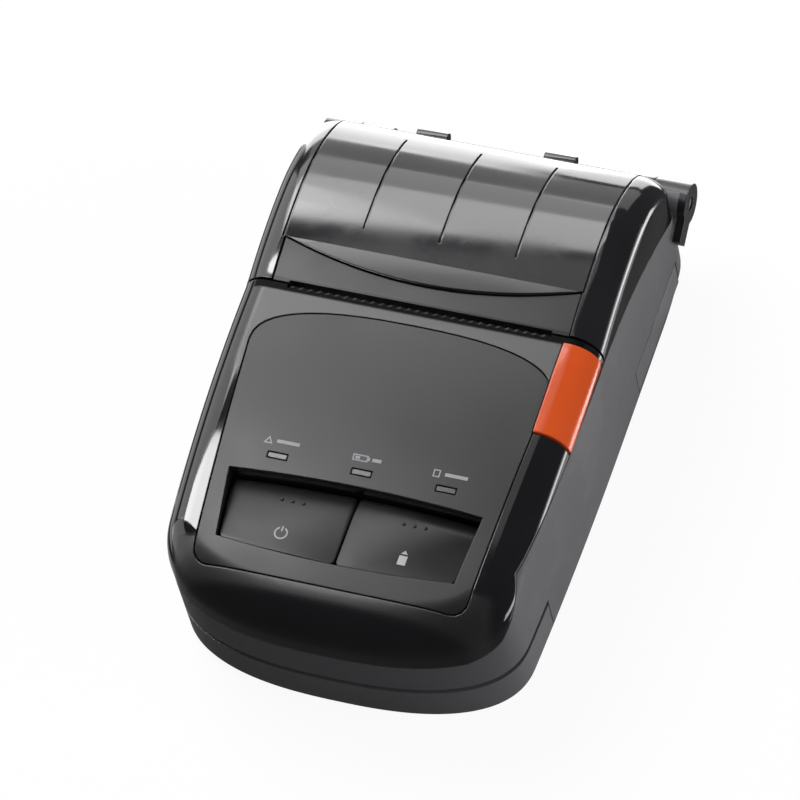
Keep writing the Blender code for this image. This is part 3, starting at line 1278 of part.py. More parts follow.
def mech_frame():
    """The chassis: two plates, a front wall, a floor and the paper guide."""
    frame = side_plate("mech_frame", 1, "nylon_black")
    reach = PLATE_INNER_X + PLATE_THICKNESS / 2
    rear = FRAME_REAR_Y
    join(frame, box("frame_wall", (-reach, FRAME_FRONT_Y, FRAME_BASE),
                    (reach, FRAME_FRONT_Y + FRAME_WALL, FRAME_TOP)),
         box("frame_floor", (-reach, FRAME_FRONT_Y, FRAME_BASE),
             (reach, rear, FRAME_BASE + FRAME_WALL)),
         side_plate("frame_left_plate", -1))
    guide_top = PLATEN_HEIGHT - PLATEN_RADIUS + FRAME_WALL
    join(frame, box("paper_guide", (-reach, rear - GUIDE_DEPTH, guide_top - GUIDE_THICKNESS),
                    (reach, rear, guide_top)))
    for side in (-1, 1):
        x = side * SCREW_X
        low, high = sorted((side * PLATE_INNER_X, x + side * SCREW_BOSS_RADIUS))
        join(frame, box(f"frame_foot_{side}", (low, LEG_FRONT_Y, LEG_BASE),
                        (high, REAR_SCREW_Y + SCREW_RADIUS * 2, LEG_BASE + FRAME_WALL)))
        cut(frame, rod(f"frame_foot_hole_{side}", SCREW_RADIUS + GAP, (x, REAR_SCREW_Y, 0),
                       (x, REAR_SCREW_Y, SCREW_LENGTH), segments=SMALL_SEGMENTS))
    notch_top = FRAME_TOP + OVERRUN
    lean = NOTCH_RADIUS * 2
    sensor_low, sensor_high = sensor_corners(GAP)
    cut(frame, rod("guide_hollow", PLATEN_RADIUS + FRAME_WALL / 2,
                   (-HEAD_HALF - GAP, *PLATEN_AXIS), (HEAD_HALF + GAP, *PLATEN_AXIS)),
        box("sensor_pocket", sensor_low, (*sensor_high[:2], FRAME_TOP)),
        rod("notch_round", NOTCH_RADIUS, (-FAR_HALF_WIDTH, *PLATEN_AXIS),
            (FAR_HALF_WIDTH, *PLATEN_AXIS)),
        prism("notch_mouth", [(PLATEN_Y - NOTCH_RADIUS, PLATEN_HEIGHT),
                              (PLATEN_Y + NOTCH_RADIUS, PLATEN_HEIGHT),
                              (PLATEN_Y + NOTCH_RADIUS + lean, notch_top),
                              (PLATEN_Y - NOTCH_RADIUS, notch_top)],
              ALONG_X, -FAR_HALF_WIDTH, FAR_HALF_WIDTH))
    for name, radius, axis in (("latch", LATCH_ROD_RADIUS, (LATCH_Y, LATCH_HEIGHT)),
                               ("head", HEAD_PIN_RADIUS, HEAD_PIVOT),
                               ("idler", GEAR_PIN_RADIUS, IDLER_AXIS),
                               ("reduction", GEAR_PIN_RADIUS, REDUCTION_AXIS),
                               ("motor", GEAR_PIN_RADIUS, MOTOR_AXIS)):
        end = FAR_HALF_WIDTH if name in ("latch", "head") else -PLATE_INNER_X + GAP
        cut(frame, rod(f"frame_hole_{name}", radius + RUNNING_GAP, (-FAR_HALF_WIDTH, *axis),
                       (end, *axis), segments=SMALL_SEGMENTS))
    return frame


def print_head():
    """The ceramic strip, the plate that carries it, its pivot pin and its two springs."""
    ceramic = box("print_head", (-HEAD_HALF, SINK_REAR_Y + GAP, HEAD_PIVOT[1] + HEAD_BARREL_RADIUS),
                  (HEAD_HALF, HEAD_FACE_Y, HEAD_TOP), "ceramic")
    sink = box("head_plate", (-HEAD_HALF, SINK_FRONT_Y, HEAD_PIVOT[1]),
               (HEAD_HALF, SINK_REAR_Y, HEAD_TOP + GAP), "aluminium")
    join(sink, rod("head_barrel", HEAD_BARREL_RADIUS, (-HEAD_HALF, *HEAD_PIVOT),
                   (HEAD_HALF, *HEAD_PIVOT)))
    cut(sink, rod("head_bore", HEAD_PIN_RADIUS + RUNNING_GAP, (-FAR_HALF_WIDTH, *HEAD_PIVOT),
                  (FAR_HALF_WIDTH, *HEAD_PIVOT), segments=SMALL_SEGMENTS))
    pin = rod("head_pin", HEAD_PIN_RADIUS, (-PLATE_OUTER_X, *HEAD_PIVOT),
              (PLATE_OUTER_X, *HEAD_PIVOT), "steel", SMALL_SEGMENTS)
    carry("head_tilt", (0, *HEAD_PIVOT), [ceramic, sink])
    start = FRAME_FRONT_Y + FRAME_WALL + GAP + HEAD_SPRING_WIRE
    length = SINK_FRONT_Y - GAP - HEAD_SPRING_WIRE - start
    springs = []
    for name, side in (("left", -1), ("right", 1)):
        centre = (side * HEAD_SPRING_SPACING / 2, start, PLATEN_HEIGHT + HEAD_SPRING_WIRE)
        springs.append(tube(f"head_spring_{name}",
                            helix(centre, HEAD_SPRING_RADIUS, length, HEAD_SPRING_TURNS, (0, 1, 0)),
                            HEAD_SPRING_WIRE, "steel"))
    return [ceramic, sink, pin] + springs


def tear_bar():
    """A serrated strip on the shell's rear edge, where the paper leaves."""
    top = top_height(SLOT_Y) - GAP / 2
    base = top - TEAR_BAR_HEIGHT
    count = round(2 * TEAR_BAR_HALF / TEAR_TOOTH_PITCH)
    pitch = 2 * TEAR_BAR_HALF / count
    outline = [(-TEAR_BAR_HALF, base)]
    for i in range(count):
        left = -TEAR_BAR_HALF + i * pitch
        outline += [(left, top - TEAR_TOOTH_HEIGHT), (left + pitch / 2, top)]
    outline += [(TEAR_BAR_HALF, top - TEAR_TOOTH_HEIGHT), (TEAR_BAR_HALF, base)]
    return prism("tear_bar", outline, ALONG_Y, TEAR_BAR_Y, TEAR_BAR_Y + TEAR_BAR_THICKNESS, "steel")


# The paper cover with its platen

SHAFT_BORE_RADIUS = PLATEN_SHAFT_RADIUS + RUNNING_GAP
LIP_FRONT_Y = SLOT_Y + COVER_GAP / 2
LIP_SLOT_Y = SLOT_Y - COVER_GAP / 2 + PAPER_SLOT_WIDTH
LIP_REAR_Y = SLOT_Y + LIP_SIDE_REACH
ZONE_REAR_Y = REAR_Y - BEZEL_RADIUS / 2
ROLL_AXIS = (BAY_REAR_Y - ROLL_DIAMETER / 2 - GAP * 2, WALL + ROLL_DIAMETER / 2 + GAP * 2)


def lip_outline(grow, front):
    """The lip in plan: straight at the paper slot, bowed towards it at the rear."""
    half_x = ZONE_HALF_WIDTH + min(grow, GAP)
    half = [(0.0, front), (half_x, front)]
    for i in range(ARC_STEPS + 1):
        t = 1 - i / ARC_STEPS
        bow = (LIP_SIDE_REACH - LIP_MIDDLE_REACH) * (1 - t * t)
        half.append((half_x * t, LIP_REAR_Y + grow - bow))
    return both_sides(half)


def zone_lines(name):
    """The cover's fine grooves: one along each edge of the ribbed zone, and three across it."""
    half = ZONE_LINE_WIDTH / 2
    places = [(side * (ZONE_HALF_WIDTH + half + GAP), LIP_REAR_Y, ZONE_REAR_Y) for side in (-1, 1)]
    start = LIP_REAR_Y + GROOVE_FROM_LIP
    for i in range(GROOVE_COUNT):
        x = (i - (GROOVE_COUNT - 1) / 2) * GROOVE_SPACING
        places.append((x, start, start + GROOVE_LENGTH))
    boxes = [box(f"{name}_{index}", (x - half, front, SEAM_NOSE_HEIGHT), (x + half, rear, FAR_TOP))
             for index, (x, front, rear) in enumerate(places)]
    return cut(join(boxes[0], *boxes[1:]), below_top(name + "_floor", ZONE_LINE_DEPTH))


def paper_cover():
    """The glossy cover: the shell over the roll, with knuckles that hang on the hinge pins."""
    cover = add_object("paper_cover", OUTER.copy(), "gloss_black")
    cut(cover, under_seam("paper_cover_seam", GAP / 2),
        box("paper_cover_end", (-FAR_HALF_WIDTH, FAR_FRONT_Y, -OVERRUN),
            (FAR_HALF_WIDTH, LIP_FRONT_Y, FAR_TOP)),
        add_object("paper_cover_cavity", INNER.copy()),
        prism("lip_space", lip_outline(GAP, SLOT_Y - OVERRUN), ALONG_Z, PLATEN_HEIGHT, FAR_TOP),
        zone_lines("zone_line"))
    bump_y = REAR_Y - BEZEL_RADIUS * (1 - math.cos(math.pi / 4))
    bump_z = top_height(bump_y) - BEZEL_RADIUS * (1 - math.sin(math.pi / 4))
    roll_half = RIBBON_HALF + GAP
    for side in (-1, 1):
        middle = side * REST_BUMP_SPACING / 2
        bump = rod(f"rest_bump_{side}", REST_BUMP_RADIUS,
                   (middle - REST_BUMP_WIDTH / 2, bump_y, bump_z),
                   (middle + REST_BUMP_WIDTH / 2, bump_y, bump_z), segments=SMALL_SEGMENTS)
        low, high = sorted((side * KNUCKLE_INNER_X, side * KNUCKLE_OUTER_X))
        join(cover, bump,
             hinge_web(f"knuckle_web_{side}", low, high, math.radians(128), HINGE_EAR_RADIUS * 1.6),
             hinge_rod(f"knuckle_{side}", HINGE_EAR_RADIUS, low, high))
        cut(cover, rod(f"roll_space_{side}", ROLL_DIAMETER / 2 + GAP,
                       (side * (KNUCKLE_INNER_X - OVERRUN), *ROLL_AXIS),
                       (side * roll_half, *ROLL_AXIS), segments=ROUND_SEGMENTS * 2),
            hinge_rod(f"ear_space_{side}", KNUCKLE_CLEAR_RADIUS,
                             side * (EAR_INNER_X - GAP / 2), side * FAR_HALF_WIDTH),
            hinge_rod(f"knuckle_bore_{side}", PIN_BORE_RADIUS, side * (KNUCKLE_INNER_X - OVERRUN),
                      side * FAR_HALF_WIDTH, SMALL_SEGMENTS))
    spring_room = HINGE_SPRING_RADIUS + HINGE_WIRE_RADIUS + GAP
    cut(cover, hinge_rod("spring_space", spring_room, -KNUCKLE_INNER_X,
                         -KNUCKLE_INNER_X + HINGE_SPRING_LENGTH + GAP * 2))
    return cover


def cover_lip():
    """The matte lip at the paper slot, with the two cheeks that hold the platen."""
    lip = surface_plate("cover_lip", lip_outline(0.0, LIP_FRONT_Y), LIP_DROP, LIP_THICKNESS,
                        "matte_panel")
    flange_outline = lip_outline(LIP_FLANGE_REACH, LIP_FRONT_Y)
    join(lip, surface_plate("lip_flange", flange_outline, WALL + GAP, LIP_FLANGE_THICKNESS))
    inner_x = PLATEN_LENGTH / 2 + GAP
    for side in (-1, 1):
        low, high = sorted((side * inner_x, side * (inner_x + CHEEK_THICKNESS)))
        top = WALL + GAP + LIP_FLANGE_THICKNESS / 2
        outline = arc(PLATEN_AXIS, CHEEK_RADIUS, -math.pi, 0, ARC_STEPS // 2)
        outline += [(PLATEN_Y + CHEEK_RADIUS, top_height(PLATEN_Y + CHEEK_RADIUS) - top),
                    (PLATEN_Y - CHEEK_RADIUS, top_height(PLATEN_Y - CHEEK_RADIUS) - top)]
        join(lip, prism(f"cheek_{side}", outline, ALONG_X, low, high))
    slot_half = RIBBON_HALF + GAP
    cut(lip, box("lip_slot", (-slot_half, FAR_FRONT_Y, -OVERRUN), (slot_half, LIP_SLOT_Y, FAR_TOP)),
        rod("cheek_bore", SHAFT_BORE_RADIUS, (-FAR_HALF_WIDTH, *PLATEN_AXIS),
            (FAR_HALF_WIDTH, *PLATEN_AXIS), segments=SMALL_SEGMENTS))
    return lip


def platen():
    """Shaft, rubber sleeve and gear turn together; the two bushings stay with the cover."""
    shaft = rod("platen_shaft", PLATEN_SHAFT_RADIUS, (PLANE_A - GEAR_WIDTH, *PLATEN_AXIS),
                (HOOK_OUTER_X, *PLATEN_AXIS), "steel", SMALL_SEGMENTS)
    half = PLATEN_LENGTH / 2
    rubber = rod("platen_rubber", PLATEN_RADIUS, (-half, *PLATEN_AXIS), (half, *PLATEN_AXIS),
                 "rubber")
    cut(rubber, rod("rubber_bore", SHAFT_BORE_RADIUS, (-HALF_WIDTH, *PLATEN_AXIS),
                    (HALF_WIDTH, *PLATEN_AXIS), segments=SMALL_SEGMENTS))
    wheel = gear("platen_gear", PLATEN_AXIS, PLATEN_TEETH, PLATEN_PHASE, PLANE_A,
                 SHAFT_BORE_RADIUS, "nylon_white")
    bushings = []
    for name, side in (("left", -1), ("right", 1)):
        inner = side * (PLATE_INNER_X - BUSHING_COLLAR)
        outer = side * (PLATE_OUTER_X + BUSHING_COLLAR)
        bushing = rod(f"bushing_{name}", SHAFT_BORE_RADIUS + BUSHING_WALL, (inner, *PLATEN_AXIS),
                      (outer, *PLATEN_AXIS), "nylon_white")
        cut(bushing, rod(f"bushing_bore_{name}", SHAFT_BORE_RADIUS,
                         (side * HEAD_HALF, *PLATEN_AXIS), (side * FAR_HALF_WIDTH, *PLATEN_AXIS),
                         segments=SMALL_SEGMENTS))
        bushings.append(bushing)
    return [shaft, rubber, wheel], bushings


def hinge_pins():
    end = EAR_OUTER_X - GAP
    spring_end = -KNUCKLE_INNER_X + GAP + HINGE_SPRING_LENGTH
    return [rod("hinge_pin_left", HINGE_PIN_RADIUS, (-end, HINGE_Y, HINGE_AXIS_HEIGHT),
                (spring_end, HINGE_Y, HINGE_AXIS_HEIGHT), "steel", SMALL_SEGMENTS),
            rod("hinge_pin_right", HINGE_PIN_RADIUS, (KNUCKLE_INNER_X, HINGE_Y, HINGE_AXIS_HEIGHT),
                (end, HINGE_Y, HINGE_AXIS_HEIGHT), "steel", SMALL_SEGMENTS)]


def cover_spring():
    """A torsion coil on the left pin, one tail up inside the cover and one down inside the tub."""
    start = -KNUCKLE_INNER_X + GAP + HINGE_WIRE_RADIUS
    length = HINGE_SPRING_LENGTH - HINGE_WIRE_RADIUS * 2
    turns, steps = 5, 10
    tail = HINGE_SPRING_RADIUS * 2
    inner_y = HINGE_Y - HINGE_SPRING_RADIUS
    points = [(start, inner_y, HINGE_AXIS_HEIGHT + tail)]
    for i in range(turns * steps + 1):
        turn = math.pi + 2 * math.pi * i / steps
        points.append((start + length * i / (turns * steps),
                       HINGE_Y + HINGE_SPRING_RADIUS * math.cos(turn),
                       HINGE_AXIS_HEIGHT + HINGE_SPRING_RADIUS * math.sin(turn)))
    points.append((start + length, inner_y, HINGE_AXIS_HEIGHT - tail))
    return tube("cover_spring", points, HINGE_WIRE_RADIUS, "steel")


# Sockets, screws and small electrical parts

def sockets():
    """A data socket and a power socket on an upright board beside the paper bay."""
    board_x = RIBBON_HALF + GAP + BAY_RIB + GAP
    face_x = board_x + BOARD_THICKNESS + GAP
    mouth_x = port_floor_x()
    usb_y, jack_y = socket_places()
    board = box("port_board", (board_x, PORT_FRONT_Y + WALL, PORT_BASE + GAP),
                (board_x + BOARD_THICKNESS, PORT_REAR_Y - WALL, PORT_BASE + PORT_HEIGHT),
                "board_green")
    usb = box("usb_socket", (face_x, usb_y - USB_WIDTH / 2, PORT_MIDDLE - USB_HEIGHT / 2),
              (mouth_x, usb_y + USB_WIDTH / 2, PORT_MIDDLE + USB_HEIGHT / 2), "steel")
    half, rise = USB_WIDTH / 2 - SOCKET_SHELL, USB_HEIGHT / 2 - SOCKET_SHELL
    cut(usb, box("usb_hollow", (mouth_x - SOCKET_HOLLOW, usb_y - half, PORT_MIDDLE - rise),
                 (mouth_x + OVERRUN, usb_y + half, PORT_MIDDLE + rise)))
    join(usb, box("usb_tongue", (mouth_x - SOCKET_DEPTH, usb_y - half / 2,
                                 PORT_MIDDLE - SOCKET_SHELL / 2),
                  (mouth_x - SOCKET_SHELL, usb_y + half / 2, PORT_MIDDLE + SOCKET_SHELL / 2)))
    jack = box("dc_jack", (face_x, jack_y - JACK_SIZE / 2, PORT_MIDDLE - JACK_SIZE / 2),
               (mouth_x, jack_y + JACK_SIZE / 2, PORT_MIDDLE + JACK_SIZE / 2), "nylon_black")
    cut(jack, rod("jack_bore", JACK_BORE_RADIUS, (mouth_x - SOCKET_HOLLOW, jack_y, PORT_MIDDLE),
                  (mouth_x + OVERRUN, jack_y, PORT_MIDDLE)))
    join(jack, rod("jack_pin", JACK_PIN_RADIUS, (mouth_x - SOCKET_DEPTH, jack_y, PORT_MIDDLE),
                   (mouth_x - SOCKET_SHELL, jack_y, PORT_MIDDLE), segments=SMALL_SEGMENTS))
    return [board, usb, jack]


def port_cover():
    """The rubber flap over the sockets, hinged along its lower edge."""
    x = HALF_WIDTH - PORT_COVER_THICKNESS
    flap = box("port_cover", (x, PORT_FRONT_Y, PORT_BASE),
               (HALF_WIDTH, PORT_REAR_Y, PORT_BASE + PORT_HEIGHT), "rubber")
    carry("port_cover_turn", (x + PORT_COVER_THICKNESS / 2, (PORT_FRONT_Y + PORT_REAR_Y) / 2,
                              PORT_BASE + PORT_HINGE_RISE), [flap])
    return flap


def case_screws():
    names = ("front_left", "front_right", "rear_left", "rear_right")
    made = []
    for name, (x, y) in zip(names, screw_places()):
        screw = rod(f"case_screw_{name}", SCREW_HEAD_RADIUS, (x, y, GAP),
                    (x, y, SCREW_HEAD_HEIGHT), "steel", SMALL_SEGMENTS)
        join(screw, rod(f"screw_shank_{name}", SCREW_RADIUS, (x, y, SCREW_HEAD_HEIGHT / 2),
                        (x, y, SCREW_LENGTH), segments=SMALL_SEGMENTS))
        cut(screw, rod(f"screw_socket_{name}", SCREW_SOCKET_RADIUS, (x, y, -OVERRUN),
                       (x, y, SCREW_HEAD_HEIGHT - GAP), segments=6))
        made.append(screw)
    return made


def sensor_and_switch():
    sensor_low, sensor_high = sensor_corners(0.0)
    sensor = box("paper_sensor", sensor_low, sensor_high, "nylon_black")
    base = LATCH_HEIGHT - COVER_SWITCH_HEIGHT - FRAME_WALL
    switch = box("cover_switch",
                 (PLATE_OUTER_X + GAP, FRAME_REAR_Y - COVER_SWITCH_LENGTH - FRAME_WALL, base),
                 (PLATE_OUTER_X + GAP + COVER_SWITCH_WIDTH, FRAME_REAR_Y - FRAME_WALL,
                  base + COVER_SWITCH_HEIGHT), "nylon_black")
    return [sensor, switch]


def build_printer():
    case = lower_case()
    contact_window(case)
    battery_contacts()
    carry("battery_slide", (0, NOSE_Y, 0), [battery_pack()])
    upper_case()
    top_panel()
    lamps()
    for name, x, y in key_slots():
        key(name, x, y)
    key_board()
    main_board()
    mech_frame()
    print_head()
    tear_bar()
    gear_train()
    open_button()
    button_spring()
    release_latch()
    turning, bushings = platen()
    carry("platen_spin", (0, *PLATEN_AXIS), turning)
    carry("cover_hinge", (0, HINGE_Y, HINGE_AXIS_HEIGHT), [paper_cover(), cover_lip()] + bushings)
    hinge_pins()
    cover_spring()
    sockets()
    port_cover()
    case_screws()
    sensor_and_switch()


build_printer()
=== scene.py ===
"""A pocket receipt printer dressed for the studio: shells, finishes, marks, light and camera.

Metres, +Z up. +Y runs from the rounded nose to the hinge, +X is the side with the open button.
"""
import json
import math

import bpy
import bmesh
from mathutils import Matrix, Vector
from mathutils.bvhtree import BVHTree
from mathutils.interpolate import poly_3d_calc


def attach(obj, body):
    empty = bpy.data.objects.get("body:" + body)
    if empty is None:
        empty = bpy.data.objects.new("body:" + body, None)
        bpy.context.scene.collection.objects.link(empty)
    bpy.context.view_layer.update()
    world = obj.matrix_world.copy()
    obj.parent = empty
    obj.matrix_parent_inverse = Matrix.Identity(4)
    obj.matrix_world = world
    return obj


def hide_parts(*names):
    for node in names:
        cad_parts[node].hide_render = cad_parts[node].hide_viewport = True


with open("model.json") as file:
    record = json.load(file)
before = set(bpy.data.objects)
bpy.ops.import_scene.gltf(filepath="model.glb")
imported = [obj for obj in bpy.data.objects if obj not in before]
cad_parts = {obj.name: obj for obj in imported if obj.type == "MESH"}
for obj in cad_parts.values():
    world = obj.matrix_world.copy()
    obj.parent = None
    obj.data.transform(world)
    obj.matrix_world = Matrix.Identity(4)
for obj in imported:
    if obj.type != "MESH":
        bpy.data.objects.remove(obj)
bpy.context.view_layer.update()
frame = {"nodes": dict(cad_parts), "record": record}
NODES = frame["nodes"]
BODY_OF = {node: body for body, nodes in frame["record"]["behaviour"]["bodies"].items()
           for node in nodes}
MM = 0.001

# The casing's form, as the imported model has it

HALF_WIDTH = 40.0 * MM
NOSE_Y, REAR_Y = -65.0 * MM, 60.0 * MM
SLOT_Y, SLOT_HEIGHT, SLOT_FROM_NOSE = 9.3 * MM, 41.4 * MM, 74.3 * MM
CROWN_Y, CROWN_HEIGHT, CROWN_BEHIND_SLOT = 33.0 * MM, 44.5 * MM, 23.7 * MM
CROWN_REAR_RADIUS = 33.0 * MM
FRONT_FALL = 9.2 * MM
NOSE_REACH, NOSE_ROUNDNESS = 18.0 * MM, 2.5
NOSE_TAPER, TAPER_LENGTH = 0.9 * MM, 45.0 * MM
REAR_CORNER_RADIUS = 7.8 * MM
BEZEL_RADIUS, NOSE_BEZEL_RADIUS, BASE_RADIUS = 6.3 * MM, 8.4 * MM, 3.0 * MM
REAR_LIFT, REAR_LIFT_LENGTH = 6.2 * MM, 20.0 * MM
NOSE_START_Y = NOSE_Y + NOSE_REACH
GAP = 0.3 * MM
WALL = 1.8 * MM
LIP_DROP = 0.4 * MM
BUTTON_STAND = 0.5 * MM
FACET_STEPS = dict(nose=12, side=15, corner=5, rear=2, base=3, bezel=6)
SMOOTH_STEPS = dict(nose=60, side=48, corner=16, rear=6, base=8, bezel=24)
ON_FACET = 0.15 * MM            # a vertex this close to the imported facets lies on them
SMOOTH_ERROR = 0.005 * MM       # how far a refined edge may leave the smooth form
SHORTEST_EDGE = 0.35 * MM
REFINE_ROUNDS = 6
ALIGNED = 0.9                   # cosine between a packed face and the facet that it lies on
WELD, FORM_WELD = 0.001 * MM, 0.002 * MM
SOFT_ANGLE = math.radians(32)   # flatter edges than this look smooth
FLAT_ANGLE = math.radians(2)    # packed faces that meet at less than this become one
BEVEL_ANGLE = math.radians(40)  # sharper edges than this are rounded


def smooth_step(t):
    t = min(max(t, 0.0), 1.0)
    return t * t * (3 - 2 * t)


def half_width(y):
    t = max(SLOT_Y - y, 0.0) / TAPER_LENGTH
    return HALF_WIDTH - NOSE_TAPER * t * t


def top_height(y):
    if y > CROWN_Y:
        back = min(y - CROWN_Y, CROWN_REAR_RADIUS)
        return CROWN_HEIGHT - CROWN_REAR_RADIUS + math.sqrt(CROWN_REAR_RADIUS ** 2 - back ** 2)
    if y > SLOT_Y:
        t = (CROWN_Y - y) / CROWN_BEHIND_SLOT
        return CROWN_HEIGHT - (CROWN_HEIGHT - SLOT_HEIGHT) * t * t
    t = (SLOT_Y - y) / SLOT_FROM_NOSE
    return SLOT_HEIGHT - FRONT_FALL * t * t


def base_height(y):
    t = max(y - (REAR_Y - REAR_LIFT_LENGTH), 0.0) / REAR_LIFT_LENGTH
    return REAR_LIFT * t * t


def bezel_radius(y):
    t = smooth_step((NOSE_START_Y - y) / (NOSE_REACH / 2))
    return BEZEL_RADIUS + (NOSE_BEZEL_RADIUS - BEZEL_RADIUS) * t


def plan_half(steps):
    """Half of the outline in plan, from the nose's tip to the middle of the rear wall."""
    points = []
    for i in range(steps["nose"] + 1):
        turn = math.pi / 2 * (1 - i / steps["nose"])
        y = NOSE_START_Y - NOSE_REACH * math.sin(turn) ** (2 / NOSE_ROUNDNESS)
        points.append((half_width(y) * math.cos(turn) ** (2 / NOSE_ROUNDNESS), y))
    points[0] = (0.0, NOSE_Y)
    corner_y = REAR_Y - REAR_CORNER_RADIUS
    for i in range(1, steps["side"] + 1):
        y = NOSE_START_Y + (corner_y - NOSE_START_Y) * i / steps["side"]
        points.append((half_width(y), y))
    centre_x = HALF_WIDTH - REAR_CORNER_RADIUS
    for i in range(1, steps["corner"] + 1):
        turn = math.pi / 2 * i / steps["corner"]
        points.append((centre_x + REAR_CORNER_RADIUS * math.cos(turn),
                       corner_y + REAR_CORNER_RADIUS * math.sin(turn)))
    for i in range(1, steps["rear"] + 1):
        points.append((centre_x * (1 - i / steps["rear"]), REAR_Y))
    return points


def form_mesh(inset, drop, steps):
    """The casing's form at an inset and a drop, as a bmesh of triangles."""
    points = plan_half(steps)
    padded = [(-points[1][0], points[1][1])] + points + [(-points[-2][0], points[-2][1])]
    normals = []
    for before, after in zip(padded, padded[2:]):
        along = Vector((after[0] - before[0], after[1] - before[1])).normalized()
        normals.append((along.y, -along.x))

    def ring(turn, upper):
        placed = []
        for (x, y), (nx, ny) in zip(points, normals):
            radius = bezel_radius(y) - inset if upper else max(BASE_RADIUS - inset, GAP)
            move = inset + radius * (1 - math.cos(turn))
            px, py = max(x - nx * move, 0.0), y - ny * move
            if upper:
                z = top_height(py) - inset - radius * (1 - math.sin(turn))
            else:
                z = base_height(py) + inset + radius * (1 - math.sin(turn))
            placed.append((px, py, z - drop))
        placed[0] = (0.0, *placed[0][1:])
        placed[-1] = (0.0, *placed[-1][1:])
        return placed

    quarter = math.pi / 2
    rings = [ring(quarter * (1 - i / steps["base"]), False) for i in range(steps["base"] + 1)]
    rings += [ring(quarter * i / steps["bezel"], True) for i in range(steps["bezel"] + 1)]
    rings.insert(0, [(0.0, y, z) for _, y, z in rings[0]])
    rings.append([(0.0, y, z) for _, y, z in rings[-1]])
    bm = bmesh.new()
    for side in (1, -1):
        grid = [[bm.verts.new((side * x, y, z)) for x, y, z in row] for row in rings]
        for lower, upper in zip(grid, grid[1:]):
            for i in range(len(points) - 1):
                corners = (lower[i], lower[i + 1], upper[i + 1], upper[i])
                bm.faces.new(corners if side > 0 else corners[::-1])
    bmesh.ops.remove_doubles(bm, verts=bm.verts, dist=FORM_WELD)
    bmesh.ops.triangulate(bm, faces=bm.faces)
    bm.normal_update()
    return bm


class Form:
    """A surface of the casing twice over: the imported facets, and the smooth one behind them."""

    def __init__(self, inset=0.0, drop=0.0, bezel=6):
        facets = form_mesh(inset, drop, {**FACET_STEPS, "bezel": bezel})
        self.facets = BVHTree.FromBMesh(facets)
        facets.free()
        smooth = form_mesh(inset, drop, SMOOTH_STEPS)
        self.tree = BVHTree.FromBMesh(smooth)
        self.corners = [[v.co.copy() for v in f.verts] for f in smooth.faces]
        self.normals = [[v.normal.copy() for v in f.verts] for f in smooth.faces]
        smooth.free()

    def holds(self, face):
        """True if a packed face lies on the facets."""
        middle = face.calc_center_median()
        for point in [v.co for v in face.verts] + [middle]:
            if self.facets.find_nearest(point, ON_FACET)[0] is None:
                return False
        normal = self.facets.find_nearest(middle)[1]
        return abs(normal.dot(face.normal)) > ALIGNED

    def nearest(self, point):
        return self.tree.find_nearest(point)[0]

    def normal(self, point):
        spot, _, index, _ = self.tree.find_nearest(point)
        weights = poly_3d_calc(self.corners[index], spot)
        return sum((n * w for n, w in zip(self.normals[index], weights)), Vector()).normalized()


def corner_normals(bm, skin, forms):
    """One normal for each corner: the smooth form's on the skin, and rounded ones elsewhere."""
    normals = []
    for face in bm.faces:
        for vert in face.verts:
            if face[skin]:
                normal = forms[face[skin] - 1].normal(vert.co)
                if normal.dot(face.normal) < 0:
                    normal = -normal
            else:
                normal = Vector()
                for other in vert.link_faces:
                    if not other[skin] and other.normal.dot(face.normal) > math.cos(SOFT_ANGLE):
                        normal += other.normal * other.calc_area()
                normal = normal.normalized() if normal.length > 0 else face.normal.copy()
            normals.append(normal)
    return normals


def packed_copy(node):
    bm = bmesh.new()
    bm.from_mesh(NODES[node].data)
    bmesh.ops.remove_doubles(bm, verts=bm.verts, dist=WELD)
    return bm


def merged_copy(node):
    """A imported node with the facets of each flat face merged."""
    bm = packed_copy(node)
    bmesh.ops.dissolve_limit(bm, angle_limit=FLAT_ANGLE, verts=bm.verts, edges=bm.edges)
    return bm


def add_piece(name, bm, material, body, node=None, normals=None, smooth=True, sharp=True):
    """Make an object that rides on a body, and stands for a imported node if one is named."""
    mesh = bpy.data.meshes.new(name)
    bm.to_mesh(mesh)
    bm.free()
    if smooth:
        mesh.shade_smooth()
    if normals:
        mesh.normals_split_custom_set(normals)
    elif smooth and sharp:
        mesh.set_sharp_from_angle(angle=SOFT_ANGLE)
    mesh.materials.append(material)
    piece = bpy.data.objects.new(name, mesh)
    bpy.context.scene.collection.objects.link(piece)
    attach(piece, body)
    if node:
        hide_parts(node)


def stand_in(bm, name, node, material, normals=None):
    add_piece(name, bm, material, BODY_OF[node], node, normals)


def smooth_shell(name, node, forms, material):
    """A packed shell whose outside follows the smooth form instead of its facets."""
    bm = packed_copy(node)
    skin = bm.faces.layers.int.new("skin")
    for face in bm.faces:
        for index, form in enumerate(forms):
            if form.holds(face):
                face[skin] = index + 1
                break

    def settle(verts):
        for vert in verts:
            kinds = [face[skin] for face in vert.link_faces if face[skin]]
            if kinds:
                vert.co = forms[min(kinds) - 1].nearest(vert.co)

    settle(bm.verts)
    for _ in range(REFINE_ROUNDS):
        long_edges = []
        for edge in bm.edges:
            kinds = [face[skin] for face in edge.link_faces if face[skin]]
            if not kinds or edge.calc_length() < SHORTEST_EDGE:
                continue
            middle = (edge.verts[0].co + edge.verts[1].co) / 2
            if (forms[min(kinds) - 1].nearest(middle) - middle).length > SMOOTH_ERROR:
                long_edges.append(edge)
        if not long_edges:
            break
        before = set(bm.verts)
        bmesh.ops.subdivide_edges(bm, edges=long_edges, cuts=1)
        bmesh.ops.triangulate(bm, faces=[f for f in bm.faces if len(f.verts) > 3])
        settle([v for v in bm.verts if v not in before])
    bm.normal_update()
    stand_in(bm, name, node, material, corner_normals(bm, skin, forms))


